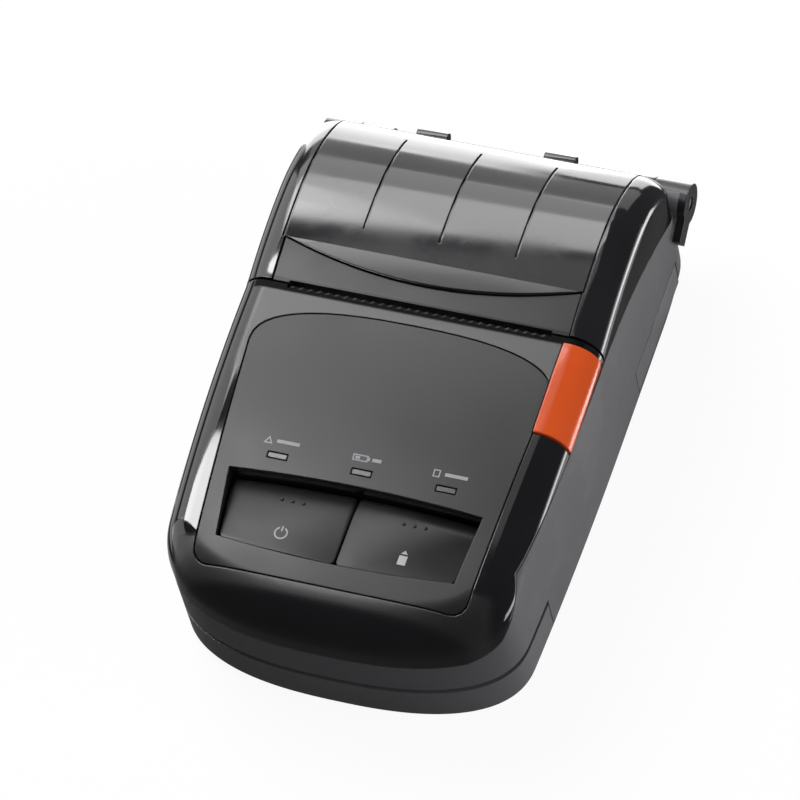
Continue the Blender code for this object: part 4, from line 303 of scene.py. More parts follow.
def bevel_edges(bm, chosen, width, segments=3, profile=0.5):
    edges = [e for e in bm.edges if len(e.link_faces) == 2 and chosen(e)]
    bmesh.ops.bevel(bm, geom=edges, offset=width, segments=segments, profile=profile,
                    affect="EDGES", clamp_overlap=True)


def soft_copy(name, node, material, width):
    """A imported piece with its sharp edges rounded."""
    bm = merged_copy(node)
    bevel_edges(bm, lambda edge: edge.calc_face_angle(0) > BEVEL_ANGLE, width, profile=0.6)
    stand_in(bm, name, node, material)


KEY_TOP, KEY_TOP_SLACK = 34.6 * MM, 0.05 * MM
KEY_CORNER, KEY_REAR_SLOPE, KEY_EDGE = 1.1 * MM, 0.9 * MM, 0.35 * MM
KEY_REAR_ZONE = 5.0 * MM        # an edge this far behind the middle of the top is the rear one
KEY_EDGE_ANGLE = math.radians(50)


def key_cap(name, node):
    """A key with round corners in plan, a slope along its rear edge and soft other edges."""
    bm = merged_copy(node)
    top_ys = [v.co.y for v in bm.verts if abs(v.co.z - KEY_TOP) < KEY_TOP_SLACK]
    middle = sum(top_ys) / len(top_ys)

    def on_top(edge, angle):
        level = all(abs(v.co.z - KEY_TOP) < KEY_TOP_SLACK for v in edge.verts)
        return level and edge.calc_face_angle(0) > angle

    def at_corner(edge):
        low, high = sorted(v.co.z for v in edge.verts)
        reach = (edge.verts[0].co.xy - edge.verts[1].co.xy).length
        return (abs(high - KEY_TOP) < KEY_TOP_SLACK and high - low > KEY_TOP_SLACK
                and reach < KEY_TOP_SLACK and edge.calc_face_angle(0) > BEVEL_ANGLE)

    def at_rear(edge):
        return (on_top(edge, BEVEL_ANGLE)
                and sum(v.co.y for v in edge.verts) / 2 > middle + KEY_REAR_ZONE)

    bevel_edges(bm, at_corner, KEY_CORNER, 4)
    bevel_edges(bm, at_rear, KEY_REAR_SLOPE, 2)
    bevel_edges(bm, lambda edge: on_top(edge, KEY_EDGE_ANGLE), KEY_EDGE)
    stand_in(bm, name, node, FINISH["key"])


# Finishes

NOISE_ROUGHNESS = 0.55
NOISE_LOW, NOISE_HIGH = 0.3, 0.7        # where most of a noise texture's values lie
CLOUD_SCALE, CLOUD_DETAIL, GRAIN_DETAIL = 45.0, 4.0, 2.0
BEVEL_SAMPLES = 6
WEAR_START, WEAR_FULL = 1.0, 0.75       # cosine between the flat and the rounded normal
WORN_GAIN, WORN_LIFT = 1.6, 0.02
SHADOW_COLOUR, SHADOW_ROUGHNESS, SHADOW_SPECULAR = (0.003, 0.003, 0.003), 0.6, 0.05


class Tree:
    """A material's nodes, with short ways to add the ones that come up often."""

    def __init__(self, name):
        self.material = bpy.data.materials.new(name)
        self.material.use_nodes = True
        self.nodes, self.links = self.material.node_tree.nodes, self.material.node_tree.links
        self.shader = self.nodes["Principled BSDF"]
        self.where = self.nodes.new("ShaderNodeTexCoord").outputs["Object"]

    def noise(self, scale, detail=3.0, stretch=(1, 1, 1)):
        mapping = self.nodes.new("ShaderNodeMapping")
        mapping.inputs["Scale"].default_value = stretch
        self.links.new(self.where, mapping.inputs["Vector"])
        texture = self.nodes.new("ShaderNodeTexNoise")
        texture.inputs["Scale"].default_value = scale
        texture.inputs["Detail"].default_value = detail
        texture.inputs["Roughness"].default_value = NOISE_ROUGHNESS
        self.links.new(mapping.outputs["Vector"], texture.inputs["Vector"])
        return texture.outputs["Fac"]

    def remap(self, value, start, end, low=0.0, high=1.0, kind="LINEAR"):
        node = self.nodes.new("ShaderNodeMapRange")
        node.interpolation_type = kind
        node.inputs["From Min"].default_value = start
        node.inputs["From Max"].default_value = end
        node.inputs["To Min"].default_value = low
        node.inputs["To Max"].default_value = high
        self.links.new(value, node.inputs["Value"])
        return node.outputs["Result"]

    def spread(self, value, low, high):
        """A noise value stretched to a range."""
        return self.remap(value, NOISE_LOW, NOISE_HIGH, low, high)

    def mix(self, factor, first, second):
        """A colour or number that goes over to a fixed one as the factor grows."""
        node = self.nodes.new("ShaderNodeMix")
        if isinstance(second, tuple):
            node.data_type = "RGBA"
            second = (*second, 1)
        node.inputs["B"].default_value = second
        self.links.new(factor, node.inputs["Factor"])
        if isinstance(first, tuple):
            node.inputs["A"].default_value = (*first, 1)
        elif isinstance(first, float):
            node.inputs["A"].default_value = first
        else:
            self.links.new(first, node.inputs["A"])
        return node.outputs["Result"]

    def band(self, axis, ends, mirrored=False):
        """A factor that goes from 0 to 1 between two ends of one coordinate."""
        split = self.nodes.new("ShaderNodeSeparateXYZ")
        self.links.new(self.where, split.inputs[0])
        value = split.outputs[axis]
        if mirrored:
            size = self.nodes.new("ShaderNodeMath")
            size.operation = "ABSOLUTE"
            self.links.new(value, size.inputs[0])
            value = size.outputs[0]
        return self.remap(value, *ends, kind="SMOOTHSTEP")

    def combine(self, first, second, operation="MULTIPLY"):
        node = self.nodes.new("ShaderNodeMath")
        node.operation = operation
        node.use_clamp = True
        self.links.new(first, node.inputs[0])
        self.links.new(second, node.inputs[1])
        return node.outputs[0]

    def relief(self, height, strength, depth, normal=None):
        bump = self.nodes.new("ShaderNodeBump")
        bump.inputs["Strength"].default_value = strength
        bump.inputs["Distance"].default_value = depth
        self.links.new(height, bump.inputs["Height"])
        if normal:
            self.links.new(normal, bump.inputs["Normal"])
        self.links.new(bump.outputs["Normal"], self.shader.inputs["Normal"])


def finish(name, colour, roughness, vary=0.1, grain=0.4 * MM, depth=0.02 * MM, bump=0.3,
           metallic=0.0, specular=0.5, edge=0.25 * MM, wear=0.3, stretch=(1, 1, 1),
           second=None, mask=None, shadow=None):
    """A moulded, painted or metal surface: uneven colour and gloss, fine grain, rounded edges.

    A second colour and roughness take over where the mask is 1, dull black where the shadow is 1.
    """
    tree = Tree(name)
    shader, links = tree.shader, tree.links
    cloud = tree.spread(tree.noise(CLOUD_SCALE, CLOUD_DETAIL, stretch), 0.0, 1.0)
    fine = tree.noise(1 / grain, GRAIN_DETAIL, stretch)
    low = tuple(c * (1 - vary) for c in colour)
    high = tuple(min(c * (1 + vary), 1.0) for c in colour)
    body = tree.mix(cloud, low, high)
    gloss = tree.spread(cloud, *roughness)
    if second:
        covered = mask(tree)
        body = tree.mix(covered, body, second[0])
        gloss = tree.mix(covered, gloss, second[1])
    bevel = tree.nodes.new("ShaderNodeBevel")
    bevel.samples = BEVEL_SAMPLES
    bevel.inputs["Radius"].default_value = edge
    if wear:
        geometry = tree.nodes.new("ShaderNodeNewGeometry")
        facing = tree.nodes.new("ShaderNodeVectorMath")
        facing.operation = "DOT_PRODUCT"
        links.new(bevel.outputs["Normal"], facing.inputs[0])
        links.new(geometry.outputs["Normal"], facing.inputs[1])
        rubbed = tree.remap(facing.outputs["Value"], WEAR_START, WEAR_FULL, 0.0, wear)
        body = tree.mix(rubbed, body, tuple(min(c * WORN_GAIN + WORN_LIFT, 1.0) for c in colour))
    if shadow:
        dark = shadow(tree)
        body = tree.mix(dark, body, SHADOW_COLOUR)
        gloss = tree.mix(dark, gloss, SHADOW_ROUGHNESS)
        links.new(tree.mix(dark, specular, SHADOW_SPECULAR), shader.inputs["Specular IOR Level"])
    else:
        shader.inputs["Specular IOR Level"].default_value = specular
    links.new(body, shader.inputs["Base Color"])
    links.new(gloss, shader.inputs["Roughness"])
    shader.inputs["Metallic"].default_value = metallic
    tree.relief(fine, bump, depth, bevel.outputs["Normal"])
    return tree.material


def circuit_board(name):
    """Green solder mask over a pattern of tracks."""
    tree = Tree(name)
    brick = tree.nodes.new("ShaderNodeTexBrick")
    brick.inputs["Scale"].default_value = 260.0
    brick.inputs["Mortar Size"].default_value = 0.03
    brick.inputs["Color1"].default_value = (0.012, 0.110, 0.050, 1)
    brick.inputs["Color2"].default_value = (0.016, 0.150, 0.070, 1)
    brick.inputs["Mortar"].default_value = (0.030, 0.260, 0.120, 1)
    tree.links.new(tree.where, brick.inputs["Vector"])
    tree.links.new(brick.outputs["Color"], tree.shader.inputs["Base Color"])
    gloss = tree.spread(tree.noise(300.0), 0.30, 0.45)
    tree.links.new(gloss, tree.shader.inputs["Roughness"])
    tree.relief(brick.outputs["Fac"], 0.3, 0.03 * MM)
    return tree.material


# Where one finish goes over to another: none of it at the first coordinate, all at the second

TOP_SIDE = (36.0 * MM, 33.5 * MM)
TOP_FRONT, TOP_REAR = (-16.0 * MM, -8.0 * MM), (SLOT_Y - 1.8 * MM, SLOT_Y - 2.4 * MM)
STRIP_FRONT, STRIP_REAR = (-60.4 * MM, -58.2 * MM), (-50.0 * MM, -52.0 * MM)
SLOT_SIDE, SLOT_LEVEL = (37.2 * MM, 36.4 * MM), (36.0 * MM, 37.0 * MM)
SLOT_FRONT = (SLOT_Y - 2.3 * MM, SLOT_Y - 1.7 * MM)
SLOT_REAR = (SLOT_Y + 1.5 * MM, SLOT_Y + 1.0 * MM)
# Painted shade: a black band on the lip along the paper slot
LIP_SHADE_BAND = (SLOT_Y + 1.6 * MM, SLOT_Y + 1.0 * MM)
EAR_SIDE, EAR_REAR = (39.95 * MM, 40.10 * MM), (60.00 * MM, 60.15 * MM)


def matte_top(tree):
    """The case's flat top from the panel to the paper slot, and a strip ahead of the panel."""
    top = tree.combine(tree.band("Y", TOP_FRONT), tree.band("Y", TOP_REAR))
    strip = tree.combine(tree.band("Y", STRIP_FRONT), tree.band("Y", STRIP_REAR))
    return tree.combine(tree.band("X", TOP_SIDE, mirrored=True),
                        tree.combine(top, strip, "MAXIMUM"))


def slot_shadow(tree):
    """The edges on both sides of the paper slot, which turn down into the dark."""
    return tree.combine(
        tree.combine(tree.band("X", SLOT_SIDE, mirrored=True), tree.band("Z", SLOT_LEVEL)),
        tree.combine(tree.band("Y", SLOT_FRONT), tree.band("Y", SLOT_REAR)))


def painted_slot_shade(tree):
    """Painted shade: black along the lip's edge at the paper slot, where the slot's shadow falls.
    """
    return tree.band("Y", LIP_SHADE_BAND)


def hinge_ears(tree):
    """What stands out of the casing's sides and rear wall."""
    return tree.combine(tree.band("X", EAR_SIDE, mirrored=True), tree.band("Y", EAR_REAR),
                        "MAXIMUM")


BLACK = (0.0105, 0.0100, 0.0125)
EARS = (0.016, 0.016, 0.018)
PANEL = (0.024, 0.024, 0.026)
MATTE = (0.122, 0.122, 0.131)


def build_finishes():
    return {
        "case_gloss": finish("case_gloss", BLACK, (0.045, 0.085), vary=0.2, grain=0.8 * MM,
                             depth=0.003 * MM, bump=0.12, edge=0.3 * MM, wear=0.1,
                             second=(PANEL, 0.40), mask=matte_top, shadow=slot_shadow),
        "case_matte": finish("case_matte", MATTE, (0.48, 0.62), vary=0.05, grain=0.35 * MM,
                             depth=0.03 * MM, bump=0.35, edge=0.3 * MM,
                             second=(EARS, 0.25), mask=hinge_ears),
        "panel_fade": finish("panel_fade", PANEL, (0.30, 0.36), vary=0.06, grain=0.30 * MM,
                             depth=0.015 * MM, bump=0.25, edge=0.25 * MM, specular=0.25),
        # The lip's black band at the paper slot is painted shade
        "lip_fade": finish("lip_fade", (0.037, 0.037, 0.039), (0.34, 0.42), vary=0.06,
                           grain=0.30 * MM, depth=0.02 * MM, bump=0.3, edge=0.25 * MM,
                           specular=0.25, second=(BLACK, 0.30), mask=painted_slot_shade),
        "cover_gloss": finish("cover_gloss", (0.017, 0.016, 0.019), (0.09, 0.14), vary=0.2,
                              grain=0.8 * MM, depth=0.004 * MM, bump=0.15, edge=0.25 * MM,
                              wear=0.1, specular=0.6),
        "matte": finish("matte_charcoal", (0.140, 0.140, 0.149), (0.48, 0.62), vary=0.05,
                        grain=0.35 * MM, depth=0.03 * MM, bump=0.35, edge=0.3 * MM),
        "orange": finish("orange_plastic", (1.000, 0.125, 0.022), (0.12, 0.20), vary=0.05,
                         grain=0.6 * MM, depth=0.006 * MM, bump=0.2, edge=0.5 * MM, wear=0.15),
        "key": finish("key_black", (0.018, 0.018, 0.019), (0.28, 0.36), vary=0.06,
                      grain=0.30 * MM, depth=0.015 * MM, bump=0.3, specular=0.20),
        "lamp": finish("light_pipe", (0.060, 0.061, 0.064), (0.25, 0.35), vary=0.1,
                       grain=0.25 * MM, depth=0.01 * MM, bump=0.3, edge=0.1 * MM),
        "rubber": finish("rubber", (0.035, 0.035, 0.037), (0.60, 0.75), vary=0.1,
                         grain=0.25 * MM, depth=0.02 * MM, bump=0.4),
        "flap": finish("flap_rubber", (0.120, 0.120, 0.127), (0.55, 0.68), vary=0.06,
                       grain=0.30 * MM, depth=0.02 * MM, bump=0.35),
        "blackened": finish("blackened_steel", (0.020, 0.020, 0.021), (0.35, 0.50), vary=0.1,
                            grain=0.20 * MM, depth=0.006 * MM, bump=0.3, edge=0.1 * MM, wear=0),
        "lens": finish("lens_strip", (0.040, 0.038, 0.041), (0.20, 0.28), vary=0.15,
                       grain=0.5 * MM, depth=0.006 * MM, bump=0.2, edge=0.1 * MM, wear=0,
                       stretch=(0.2, 1, 1)),
        "steel": finish("brushed_steel", (0.560, 0.565, 0.575), (0.22, 0.38), vary=0.06,
                        grain=0.20 * MM, depth=0.006 * MM, bump=0.35, metallic=1.0, wear=0,
                        edge=0.1 * MM, stretch=(0.06, 1, 1)),
        "aluminium": finish("aluminium", (0.700, 0.705, 0.715), (0.32, 0.45), vary=0.05,
                            grain=0.20 * MM, depth=0.006 * MM, bump=0.35, metallic=1.0, wear=0,
                            edge=0.15 * MM),
        "white": finish("nylon_white", (0.740, 0.725, 0.680), (0.42, 0.55), vary=0.05,
                        grain=0.30 * MM, depth=0.01 * MM, bump=0.3, edge=0.12 * MM, wear=0),
        "black": finish("nylon_black", (0.032, 0.032, 0.034), (0.42, 0.58), vary=0.15,
                        grain=0.30 * MM, depth=0.02 * MM, bump=0.35),
        "gold": finish("gold_contacts", (0.760, 0.540, 0.230), (0.25, 0.38), vary=0.1,
                       grain=0.25 * MM, depth=0.006 * MM, bump=0.3, metallic=1.0, wear=0,
                       stretch=(1, 0.1, 1)),
        "ceramic": finish("glazed_ceramic", (0.600, 0.580, 0.530), (0.12, 0.22), vary=0.05,
                          grain=0.40 * MM, depth=0.003 * MM, bump=0.2, wear=0),
        "print": finish("printed_ink", (0.330, 0.335, 0.345), (0.45, 0.60), vary=0.08,
                        grain=0.15 * MM, depth=0.004 * MM, bump=0.3, edge=0.02 * MM, wear=0),
        "print_light": finish("printed_ink_light", (0.480, 0.490, 0.500), (0.45, 0.60), vary=0.08,
                              grain=0.15 * MM, depth=0.004 * MM, bump=0.3, edge=0.02 * MM,
                              wear=0),
        "board": circuit_board("circuit_board"),
    }


FINISH = build_finishes()

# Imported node: piece that stands for it, finish, and width of its rounded edges if it has them

SHELLS = {
    "upper_case": ("gloss_shell", "case_gloss"),
    "lower_case": ("matte_tub", "case_matte"),
    "paper_cover": ("paper_lid", "cover_gloss"),
    "battery_pack": ("battery_shell", "matte"),
    "top_panel": ("top_inlay", "panel_fade"),
    "cover_lip": ("slot_lip", "lip_fade"),
    "open_button": ("side_button", "orange"),
    "lamp_left": ("lamp_window_left", "lamp"),
    "lamp_middle": ("lamp_window_middle", "lamp"),
    "lamp_right": ("lamp_window_right", "lamp"),
}
SOFTENED = {
    "port_cover": ("socket_flap", "flap", 0.25 * MM),
    "battery_contacts": ("contact_block", "gold", 0.30 * MM),
    "power_switch": ("power_contact", "black", 0.15 * MM),
    "feed_switch": ("feed_contact", "black", 0.15 * MM),
    "processor": ("processor_chip", "black", 0.12 * MM),
    "radio_module": ("radio_can", "steel", 0.20 * MM),
    "board_connector": ("board_plug", "white", 0.20 * MM),
    "print_head": ("head_strip", "ceramic", 0.12 * MM),
    "motor": ("motor_can", "steel", 0.60 * MM),
    "cover_switch": ("cover_contact", "black", 0.20 * MM),
    "paper_sensor": ("sensor_block", "black", 0.15 * MM),
}
KEPT = {
    "key_board": "board", "main_board": "board", "port_board": "board",
    "mech_frame": "black", "head_plate": "aluminium", "head_pin": "steel",
    "head_spring_left": "steel", "head_spring_right": "steel", "tear_bar": "blackened",
    "idler_gear": "white", "reduction_gear": "white", "motor_pinion": "steel",
    "idler_pin": "steel", "reduction_pin": "steel", "button_spring": "steel",
    "release_latch": "steel", "platen_shaft": "steel", "platen_rubber": "rubber",
    "platen_gear": "white", "bushing_left": "white", "bushing_right": "white",
    "hinge_pin_left": "steel", "hinge_pin_right": "steel", "cover_spring": "steel",
    "usb_socket": "steel", "dc_jack": "black", "case_screw_front_left": "steel",
    "case_screw_front_right": "steel", "case_screw_rear_left": "steel",
    "case_screw_rear_right": "steel",
}


def dress_nodes():
    outer, inner = Form(), Form(inset=WALL, bezel=3)
    forms = {"cover_lip": [Form(drop=LIP_DROP)],
             "open_button": [Form(inset=-BUTTON_STAND, bezel=3)],
             "battery_pack": [outer], "top_panel": [outer]}
    for node, (name, material) in SHELLS.items():
        smooth_shell(name, node, forms.get(node, [outer, inner]), FINISH[material])
    key_cap("power_cap", "power_key")
    key_cap("feed_cap", "feed_key")
    for node, (name, material, width) in SOFTENED.items():
        soft_copy(name, node, FINISH[material], width)
    for node, material in KEPT.items():
        NODES[node].data.materials.clear()
        NODES[node].data.materials.append(FINISH[material])
        NODES[node].data.shade_smooth()
        NODES[node].data.set_sharp_from_angle(angle=SOFT_ANGLE)


# Printed marks, the raised dots on the keys and the strip behind the lip

MARK_HEIGHT = 0.02 * MM
LAMP_XS, LAMP_SIGN_Y = (-18.6 * MM, 0.0, 18.6 * MM), -27.4 * MM
POWER_X, FEED_X, KEY_SIGN_Y = -13.3 * MM, 13.6 * MM, -46.0 * MM
DOT_Y, DOT_PITCH, DOT_RADIUS, DOT_RISE = -38.2 * MM, 2.4 * MM, 0.42 * MM, 0.22 * MM
DOT_STEPS, DOT_LAYERS = 20, 6


def mark(name, strokes, centre, height, body, material):
    """Flat printed shapes: outlines in millimetres round a centre, laid on a surface."""
    bm = bmesh.new()
    for outline, hole in strokes:
        rings = []
        for points in (outline, hole):
            if points:
                rings.append([Vector((centre[0] + u * MM, centre[1] + v * MM))
                              for u, v in points])
        layers = []
        for lift in (-MARK_HEIGHT, MARK_HEIGHT / 2):
            layers.append([[bm.verts.new((p.x, p.y, height(p.y) + lift)) for p in ring]
                           for ring in rings])
        count = len(rings[0])
        for ring_low, ring_high in zip(*layers):
            for i in range(count):
                j = (i + 1) % count
                bm.faces.new((ring_low[i], ring_low[j], ring_high[j], ring_high[i]))
        for layer in layers:
            if hole:
                for i in range(count):
                    j = (i + 1) % count
                    bm.faces.new((layer[0][i], layer[0][j], layer[1][j], layer[1][i]))
            else:
                bm.faces.new(layer[0])
    bmesh.ops.recalc_face_normals(bm, faces=bm.faces)
    add_piece(name, bm, material, body, smooth=False)


def block(x, y, width, height):
    w, h = width / 2, height / 2
    return [(x - w, y - h), (x + w, y - h), (x + w, y + h), (x - w, y + h)]


def ring_points(x, y, radius, start=0.0, end=2 * math.pi, steps=28):
    closed = abs(end - start - 2 * math.pi) < 0.001
    count = steps if closed else steps + 1
    return [(x + radius * math.cos(start + (end - start) * i / steps),
             y + radius * math.sin(start + (end - start) * i / steps)) for i in range(count)]


def open_ring(x, y, outer, inner, gap):
    """A ring with a gap at its top, as one outline."""
    start, end = math.pi / 2 + gap, math.pi * 5 / 2 - gap
    return ring_points(x, y, outer, start, end) + ring_points(x, y, inner, start, end)[::-1]


def label_marks():
    """Generic signs beside the three lamps: a triangle, a battery and a sheet, each with a bar."""
    triangle = ([(-3.9, -0.8), (-1.9, -0.8), (-2.9, 0.9)],
                [(-3.45, -0.55), (-2.35, -0.55), (-2.9, 0.4)])
    battery = (block(-1.2, 0.0, 3.4, 1.5), block(-1.2, 0.0, 2.8, 0.9))
    sheet = (block(-3.0, 0.0, 1.5, 1.7), block(-3.0, 0.0, 1.0, 1.2))
    signs = {
        "left": [triangle, (block(1.4, 0.05, 5.0, 0.75), None)],
        "middle": [battery, (block(0.7, 0.0, 0.4, 0.7), None), (block(-1.8, 0.0, 1.0, 0.6), None),
                   (block(2.4, 0.0, 2.0, 0.75), None)],
        "right": [sheet, (block(1.3, 0.05, 5.0, 0.75), None)],
    }
    for (name, strokes), x in zip(signs.items(), LAMP_XS):
        mark(f"lamp_sign_{name}", strokes, (x, LAMP_SIGN_Y), top_height, "base",
             FINISH["print"])


def key_marks():
    """A power sign and a sheet that comes out of a slot."""
    power = [(open_ring(0.0, 0.0, 1.5, 1.15, 0.45), None), (block(0.0, 1.05, 0.35, 1.3), None)]
    feed = [([(-0.9, -1.7), (0.9, -1.7), (0.9, 0.5), (-0.9, 0.5)], None),
            ([(-0.75, 0.9), (0.75, 0.9), (0.0, 1.8)], None)]
    mark("power_sign", power, (POWER_X, KEY_SIGN_Y), lambda y: KEY_TOP, "power_key",
         FINISH["print"])
    mark("feed_sign", feed, (FEED_X, KEY_SIGN_Y), lambda y: KEY_TOP, "feed_key",
         FINISH["print_light"])


def dome(name, x, y, body):
    """A low raised dot."""
    bm = bmesh.new()
    rings = []
    for k in range(DOT_LAYERS):
        turn = math.pi / 2 * k / DOT_LAYERS
        radius, rise = DOT_RADIUS * math.cos(turn), DOT_RISE * math.sin(turn)
        rings.append([bm.verts.new((px, py, KEY_TOP + rise))
                      for px, py in ring_points(x, y, radius, steps=DOT_STEPS)])
    for low, high in zip(rings, rings[1:]):
        for i in range(DOT_STEPS):
            j = (i + 1) % DOT_STEPS
            bm.faces.new((low[i], low[j], high[j], high[i]))
    bm.faces.new(rings[-1])
    bm.faces.new(rings[0][::-1])
    add_piece(name, bm, FINISH["key"], body, sharp=False)


def key_dots():
    for body, middle in (("power_key", POWER_X), ("feed_key", FEED_X)):
        for i in range(3):
            dome(f"{body}_dot_{i}", middle + (i - 1) * DOT_PITCH, DOT_Y, body)


LIP_HALF_WIDTH = 33.0 * MM
LIP_SIDE_Y, LIP_MIDDLE_Y = SLOT_Y + 10.0 * MM, SLOT_Y + 4.8 * MM
LENS_ACROSS, LENS_ALONG = 48, 8       # number of faces
LENS_END, LENS_MARGIN, LENS_THINNEST = 1.0 * MM, 0.1 * MM, 0.15 * MM
LENS_SINK, LENS_CREASE, LENS_SLOPE = 0.05 * MM, 0.12 * MM, 0.085


def lens_strip():
    """The lens-shaped strip between the ribbed zone's straight edge and the lip's bowed one."""
    across, along = LENS_ACROSS, LENS_ALONG
    half, chord_y = LIP_HALF_WIDTH - LENS_END, LIP_SIDE_Y + LENS_MARGIN
    bm = bmesh.new()
    tops, bases = [], []
    for i in range(across + 1):
        x = half * (2 * i / across - 1)
        bow = (LIP_SIDE_Y - LIP_MIDDLE_Y) * (x / LIP_HALF_WIDTH) ** 2
        front = LIP_MIDDLE_Y + bow + GAP + LENS_MARGIN
        depth = max(chord_y - front, LENS_THINNEST)
        tops.append([])
        bases.append([])
        for j in range(along + 1):
            y = chord_y - depth * j / along
            lift = LENS_CREASE * min(depth / MM, 1.0) + LENS_SLOPE * (chord_y - y)
            tops[-1].append(bm.verts.new((x, y, top_height(y) + lift)))
            bases[-1].append(bm.verts.new((x, y, top_height(y) - LENS_SINK)))
    for i in range(across):
        for j in range(along):
            bm.faces.new((tops[i][j], tops[i][j + 1], tops[i + 1][j + 1], tops[i + 1][j]))
            bm.faces.new((bases[i][j], bases[i + 1][j], bases[i + 1][j + 1], bases[i][j + 1]))
        bm.faces.new((tops[i][0], tops[i + 1][0], bases[i + 1][0], bases[i][0]))
        bm.faces.new((tops[i][-1], bases[i][-1], bases[i + 1][-1], tops[i + 1][-1]))
    for j in range(along):
        bm.faces.new((tops[0][j], bases[0][j], bases[0][j + 1], tops[0][j + 1]))
        bm.faces.new((tops[-1][j], tops[-1][j + 1], bases[-1][j + 1], bases[-1][j]))
    bmesh.ops.recalc_face_normals(bm, faces=bm.faces)
    add_piece("lens_strip", bm, FINISH["lens"], "cover")


# Floor, light and camera

FLOOR_HALF = 3.0
FLOOR_GLOW, FLOOR_GLOW_SHARE = 1.06, 0.88   # what the camera sees; the rest shows the shadow
FLOOR_BOUNCE, FLOOR_PALE = 0.35, 0.85       # the floor's colour to other rays, to the camera
ROOM_FILL = 0.10
CENTRE = (0.0, 0.0, 25.0 * MM)
PANEL_SPOT = (-284 * MM, 10 * MM, 35 * MM)
SEAM_SPOT = (40 * MM, -36 * MM, 28 * MM)
LIGHTS = (
    # Name, azimuth, elevation, distance, width, height, radiance, and the rays that see it
    ("key_light", -50, 50, 1.2, 0.9, 0.7, 4.8, "diffuse"),
    ("side_fill", 98, 14, 1.2, 0.9, 0.7, 3.5, "diffuse"),
    ("cover_card", -30, 52.5, 0.7, 0.36, 0.20, 6.3, "glossy"),
    ("cover_card_left", -47, 52.5, 0.7, 0.18, 0.20, 3.2, "glossy"),
    ("cover_middle", -28, 36, 0.7, 0.42, 0.20, 3.1, "glossy"),
    ("cover_front", -46, 71, 0.7, 0.50, 0.16, 0.9, "glossy"),
    ("crown_left", -28.4, -12, 0.8, 0.42, 0.61, 6.0, "glossy"),
    ("crown_right", -2, -16, 0.8, 0.34, 0.49, 4.6, "glossy"),
    ("crown_low", -28, -48, 0.8, 0.50, 0.42, 1.1, "glossy"),
    ("crown_dim", -8, 17, 0.8, 0.74, 0.34, 1.2, "glossy"),
    ("panel_card", 0, 90, 0.365, 0.33, 0.12, 18.0, "glossy", PANEL_SPOT),
    ("left_band", -70, 36, 0.8, 0.50, 0.75, 2.3, "glossy"),
    ("left_corner", -103, 14, 0.8, 0.40, 0.70, 2.0, "glossy"),
    ("left_middle", -70, -12, 0.8, 0.9, 0.34, 1.3, "glossy"),
    ("left_low", -66, -45, 0.8, 0.8, 0.22, 0.5, "glossy"),
    ("right_low", 64, -36, 0.8, 0.45, 0.50, 1.1, "glossy"),
    ("right_line", 70, -30, 0.32, 0.44, 0.06, 6.0, "glossy", SEAM_SPOT),
)


def stage_material():
    """Pale and even to the camera, with the object's shadow, and plain to other rays."""
    material = bpy.data.materials.new("floor_white")
    material.use_nodes = True
    nodes, links = material.node_tree.nodes, material.node_tree.links
    nodes.remove(nodes["Principled BSDF"])
    diffuse = nodes.new("ShaderNodeBsdfDiffuse")
    glow = nodes.new("ShaderNodeEmission")
    glow.inputs["Color"].default_value = (1, 1, 1, 1)
    glow.inputs["Strength"].default_value = FLOOR_GLOW
    mix = nodes.new("ShaderNodeMixShader")
    path = nodes.new("ShaderNodeLightPath")
    seen = nodes.new("ShaderNodeMath")
    seen.operation = "MULTIPLY"
    seen.inputs[1].default_value = FLOOR_GLOW_SHARE
    links.new(path.outputs["Is Camera Ray"], seen.inputs[0])
    shade = nodes.new("ShaderNodeMapRange")
    shade.inputs["To Min"].default_value = FLOOR_BOUNCE
    shade.inputs["To Max"].default_value = FLOOR_PALE
    links.new(path.outputs["Is Camera Ray"], shade.inputs["Value"])
    links.new(shade.outputs["Result"], diffuse.inputs["Color"])
    links.new(seen.outputs[0], mix.inputs["Fac"])
    links.new(diffuse.outputs[0], mix.inputs[1])
    links.new(glow.outputs[0], mix.inputs[2])
    links.new(mix.outputs[0], nodes["Material Output"].inputs["Surface"])
    return material


def build_stage():
    """The floor. Glossy rays pass it, so that the cards below it show in the casing."""
    bm = bmesh.new()
    bmesh.ops.create_grid(bm, x_segments=1, y_segments=1, size=FLOOR_HALF)
    mesh = bpy.data.meshes.new("floor")
    bm.to_mesh(mesh)
    bm.free()
    mesh.materials.append(stage_material())
    floor = bpy.data.objects.new("floor", mesh)
    floor.visible_glossy = False
    bpy.context.scene.collection.objects.link(floor)


def build_world():
    world = bpy.data.worlds.new("studio")
    bpy.context.scene.world = world
    world.use_nodes = True
    nodes, links = world.node_tree.nodes, world.node_tree.links
    background = nodes["Background"]
    path = nodes.new("ShaderNodeLightPath")
    level = nodes.new("ShaderNodeMapRange")
    level.inputs["To Min"].default_value = ROOM_FILL
    level.inputs["To Max"].default_value = 1.0
    links.new(path.outputs["Is Camera Ray"], level.inputs["Value"])
    links.new(level.outputs["Result"], background.inputs["Strength"])
    background.inputs["Color"].default_value = (1, 1, 1, 1)


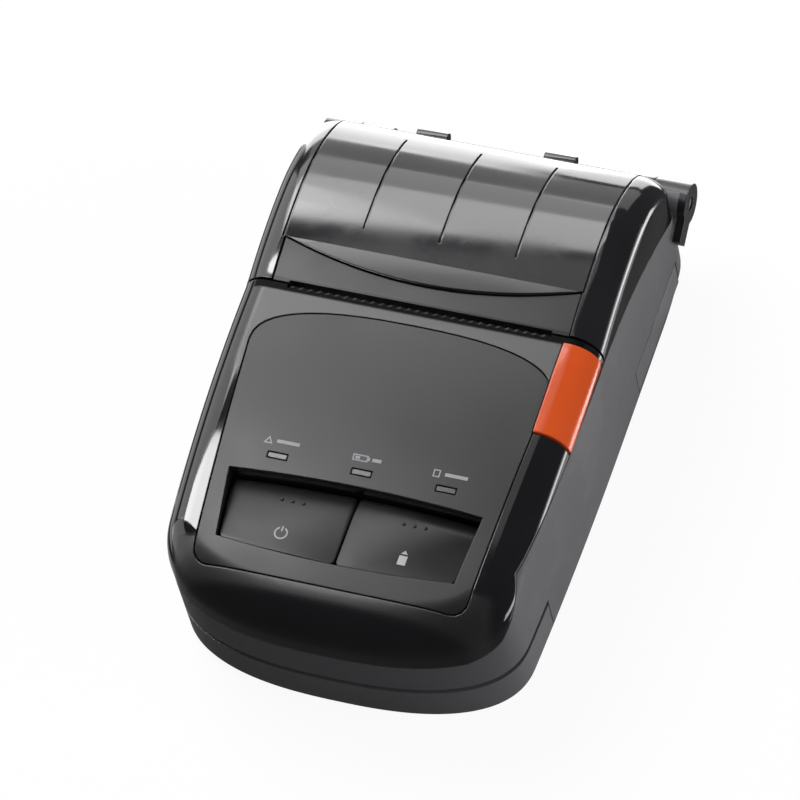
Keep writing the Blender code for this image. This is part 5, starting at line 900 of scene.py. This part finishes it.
def softbox(name, azimuth, elevation, distance, width, height, radiance, rays, target=CENTRE):
    """A soft rectangle that faces a point. Azimuth turns from +Y towards +X.

    It lights matte surfaces (diffuse rays) or shows in glossy ones (glossy rays).
    """
    azimuth, elevation = math.radians(azimuth), math.radians(elevation)
    away = Vector((math.sin(azimuth) * math.cos(elevation),
                   math.cos(azimuth) * math.cos(elevation), math.sin(elevation)))
    data = bpy.data.lights.new(name, "AREA")
    data.shape = "RECTANGLE"
    data.size, data.size_y = width, height
    data.energy = radiance * math.pi * width * height
    lamp = bpy.data.objects.new(name, data)
    lamp.location = Vector(target) + away * distance
    lamp.rotation_euler = away.to_track_quat("Z", "Y").to_euler()
    lamp.visible_camera = False
    lamp.visible_diffuse = rays == "diffuse"
    lamp.visible_glossy = rays == "glossy"
    bpy.context.scene.collection.objects.link(lamp)


# Fitted to the photograph: degrees, metres, and pixels for the focal length and the centre
CAMERA = dict(azimuth=30.748, elevation=55.843, roll=-15.102, distance=1.3100, focal=6169.9,
              centre=(433.27, 366.09), target=(0.0, 0.0087, 0.0200))
IMAGE_SIDE, SENSOR = 800, 36.0
CLIP_START, CLIP_END = 0.05, 20.0


def build_camera():
    azimuth, elevation = math.radians(CAMERA["azimuth"]), math.radians(CAMERA["elevation"])
    roll = math.radians(CAMERA["roll"])
    away = Vector((math.sin(azimuth) * math.cos(elevation),
                   -math.cos(azimuth) * math.cos(elevation), math.sin(elevation)))
    right = Vector((math.cos(azimuth), math.sin(azimuth), 0))
    up = away.cross(right)
    across = right * math.cos(roll) + up * math.sin(roll)
    above = up * math.cos(roll) - right * math.sin(roll)
    data = bpy.data.cameras.new("photo_camera")
    data.sensor_width = SENSOR
    data.lens = CAMERA["focal"] * SENSOR / IMAGE_SIDE
    data.shift_x = (IMAGE_SIDE / 2 - CAMERA["centre"][0]) / IMAGE_SIDE
    data.shift_y = (CAMERA["centre"][1] - IMAGE_SIDE / 2) / IMAGE_SIDE
    data.clip_start, data.clip_end = CLIP_START, CLIP_END
    camera = bpy.data.objects.new("photo_camera", data)
    turn = Matrix((across, above, away)).transposed().to_4x4()
    position = Vector(CAMERA["target"]) + away * CAMERA["distance"]
    camera.matrix_world = Matrix.Translation(position) @ turn
    bpy.context.scene.collection.objects.link(camera)
    bpy.context.scene.camera = camera


bpy.context.scene.view_settings.view_transform = "Standard"
dress_nodes()
label_marks()
key_marks()
key_dots()
lens_strip()
build_stage()
build_world()
for light in LIGHTS:
    softbox(*light)
build_camera()
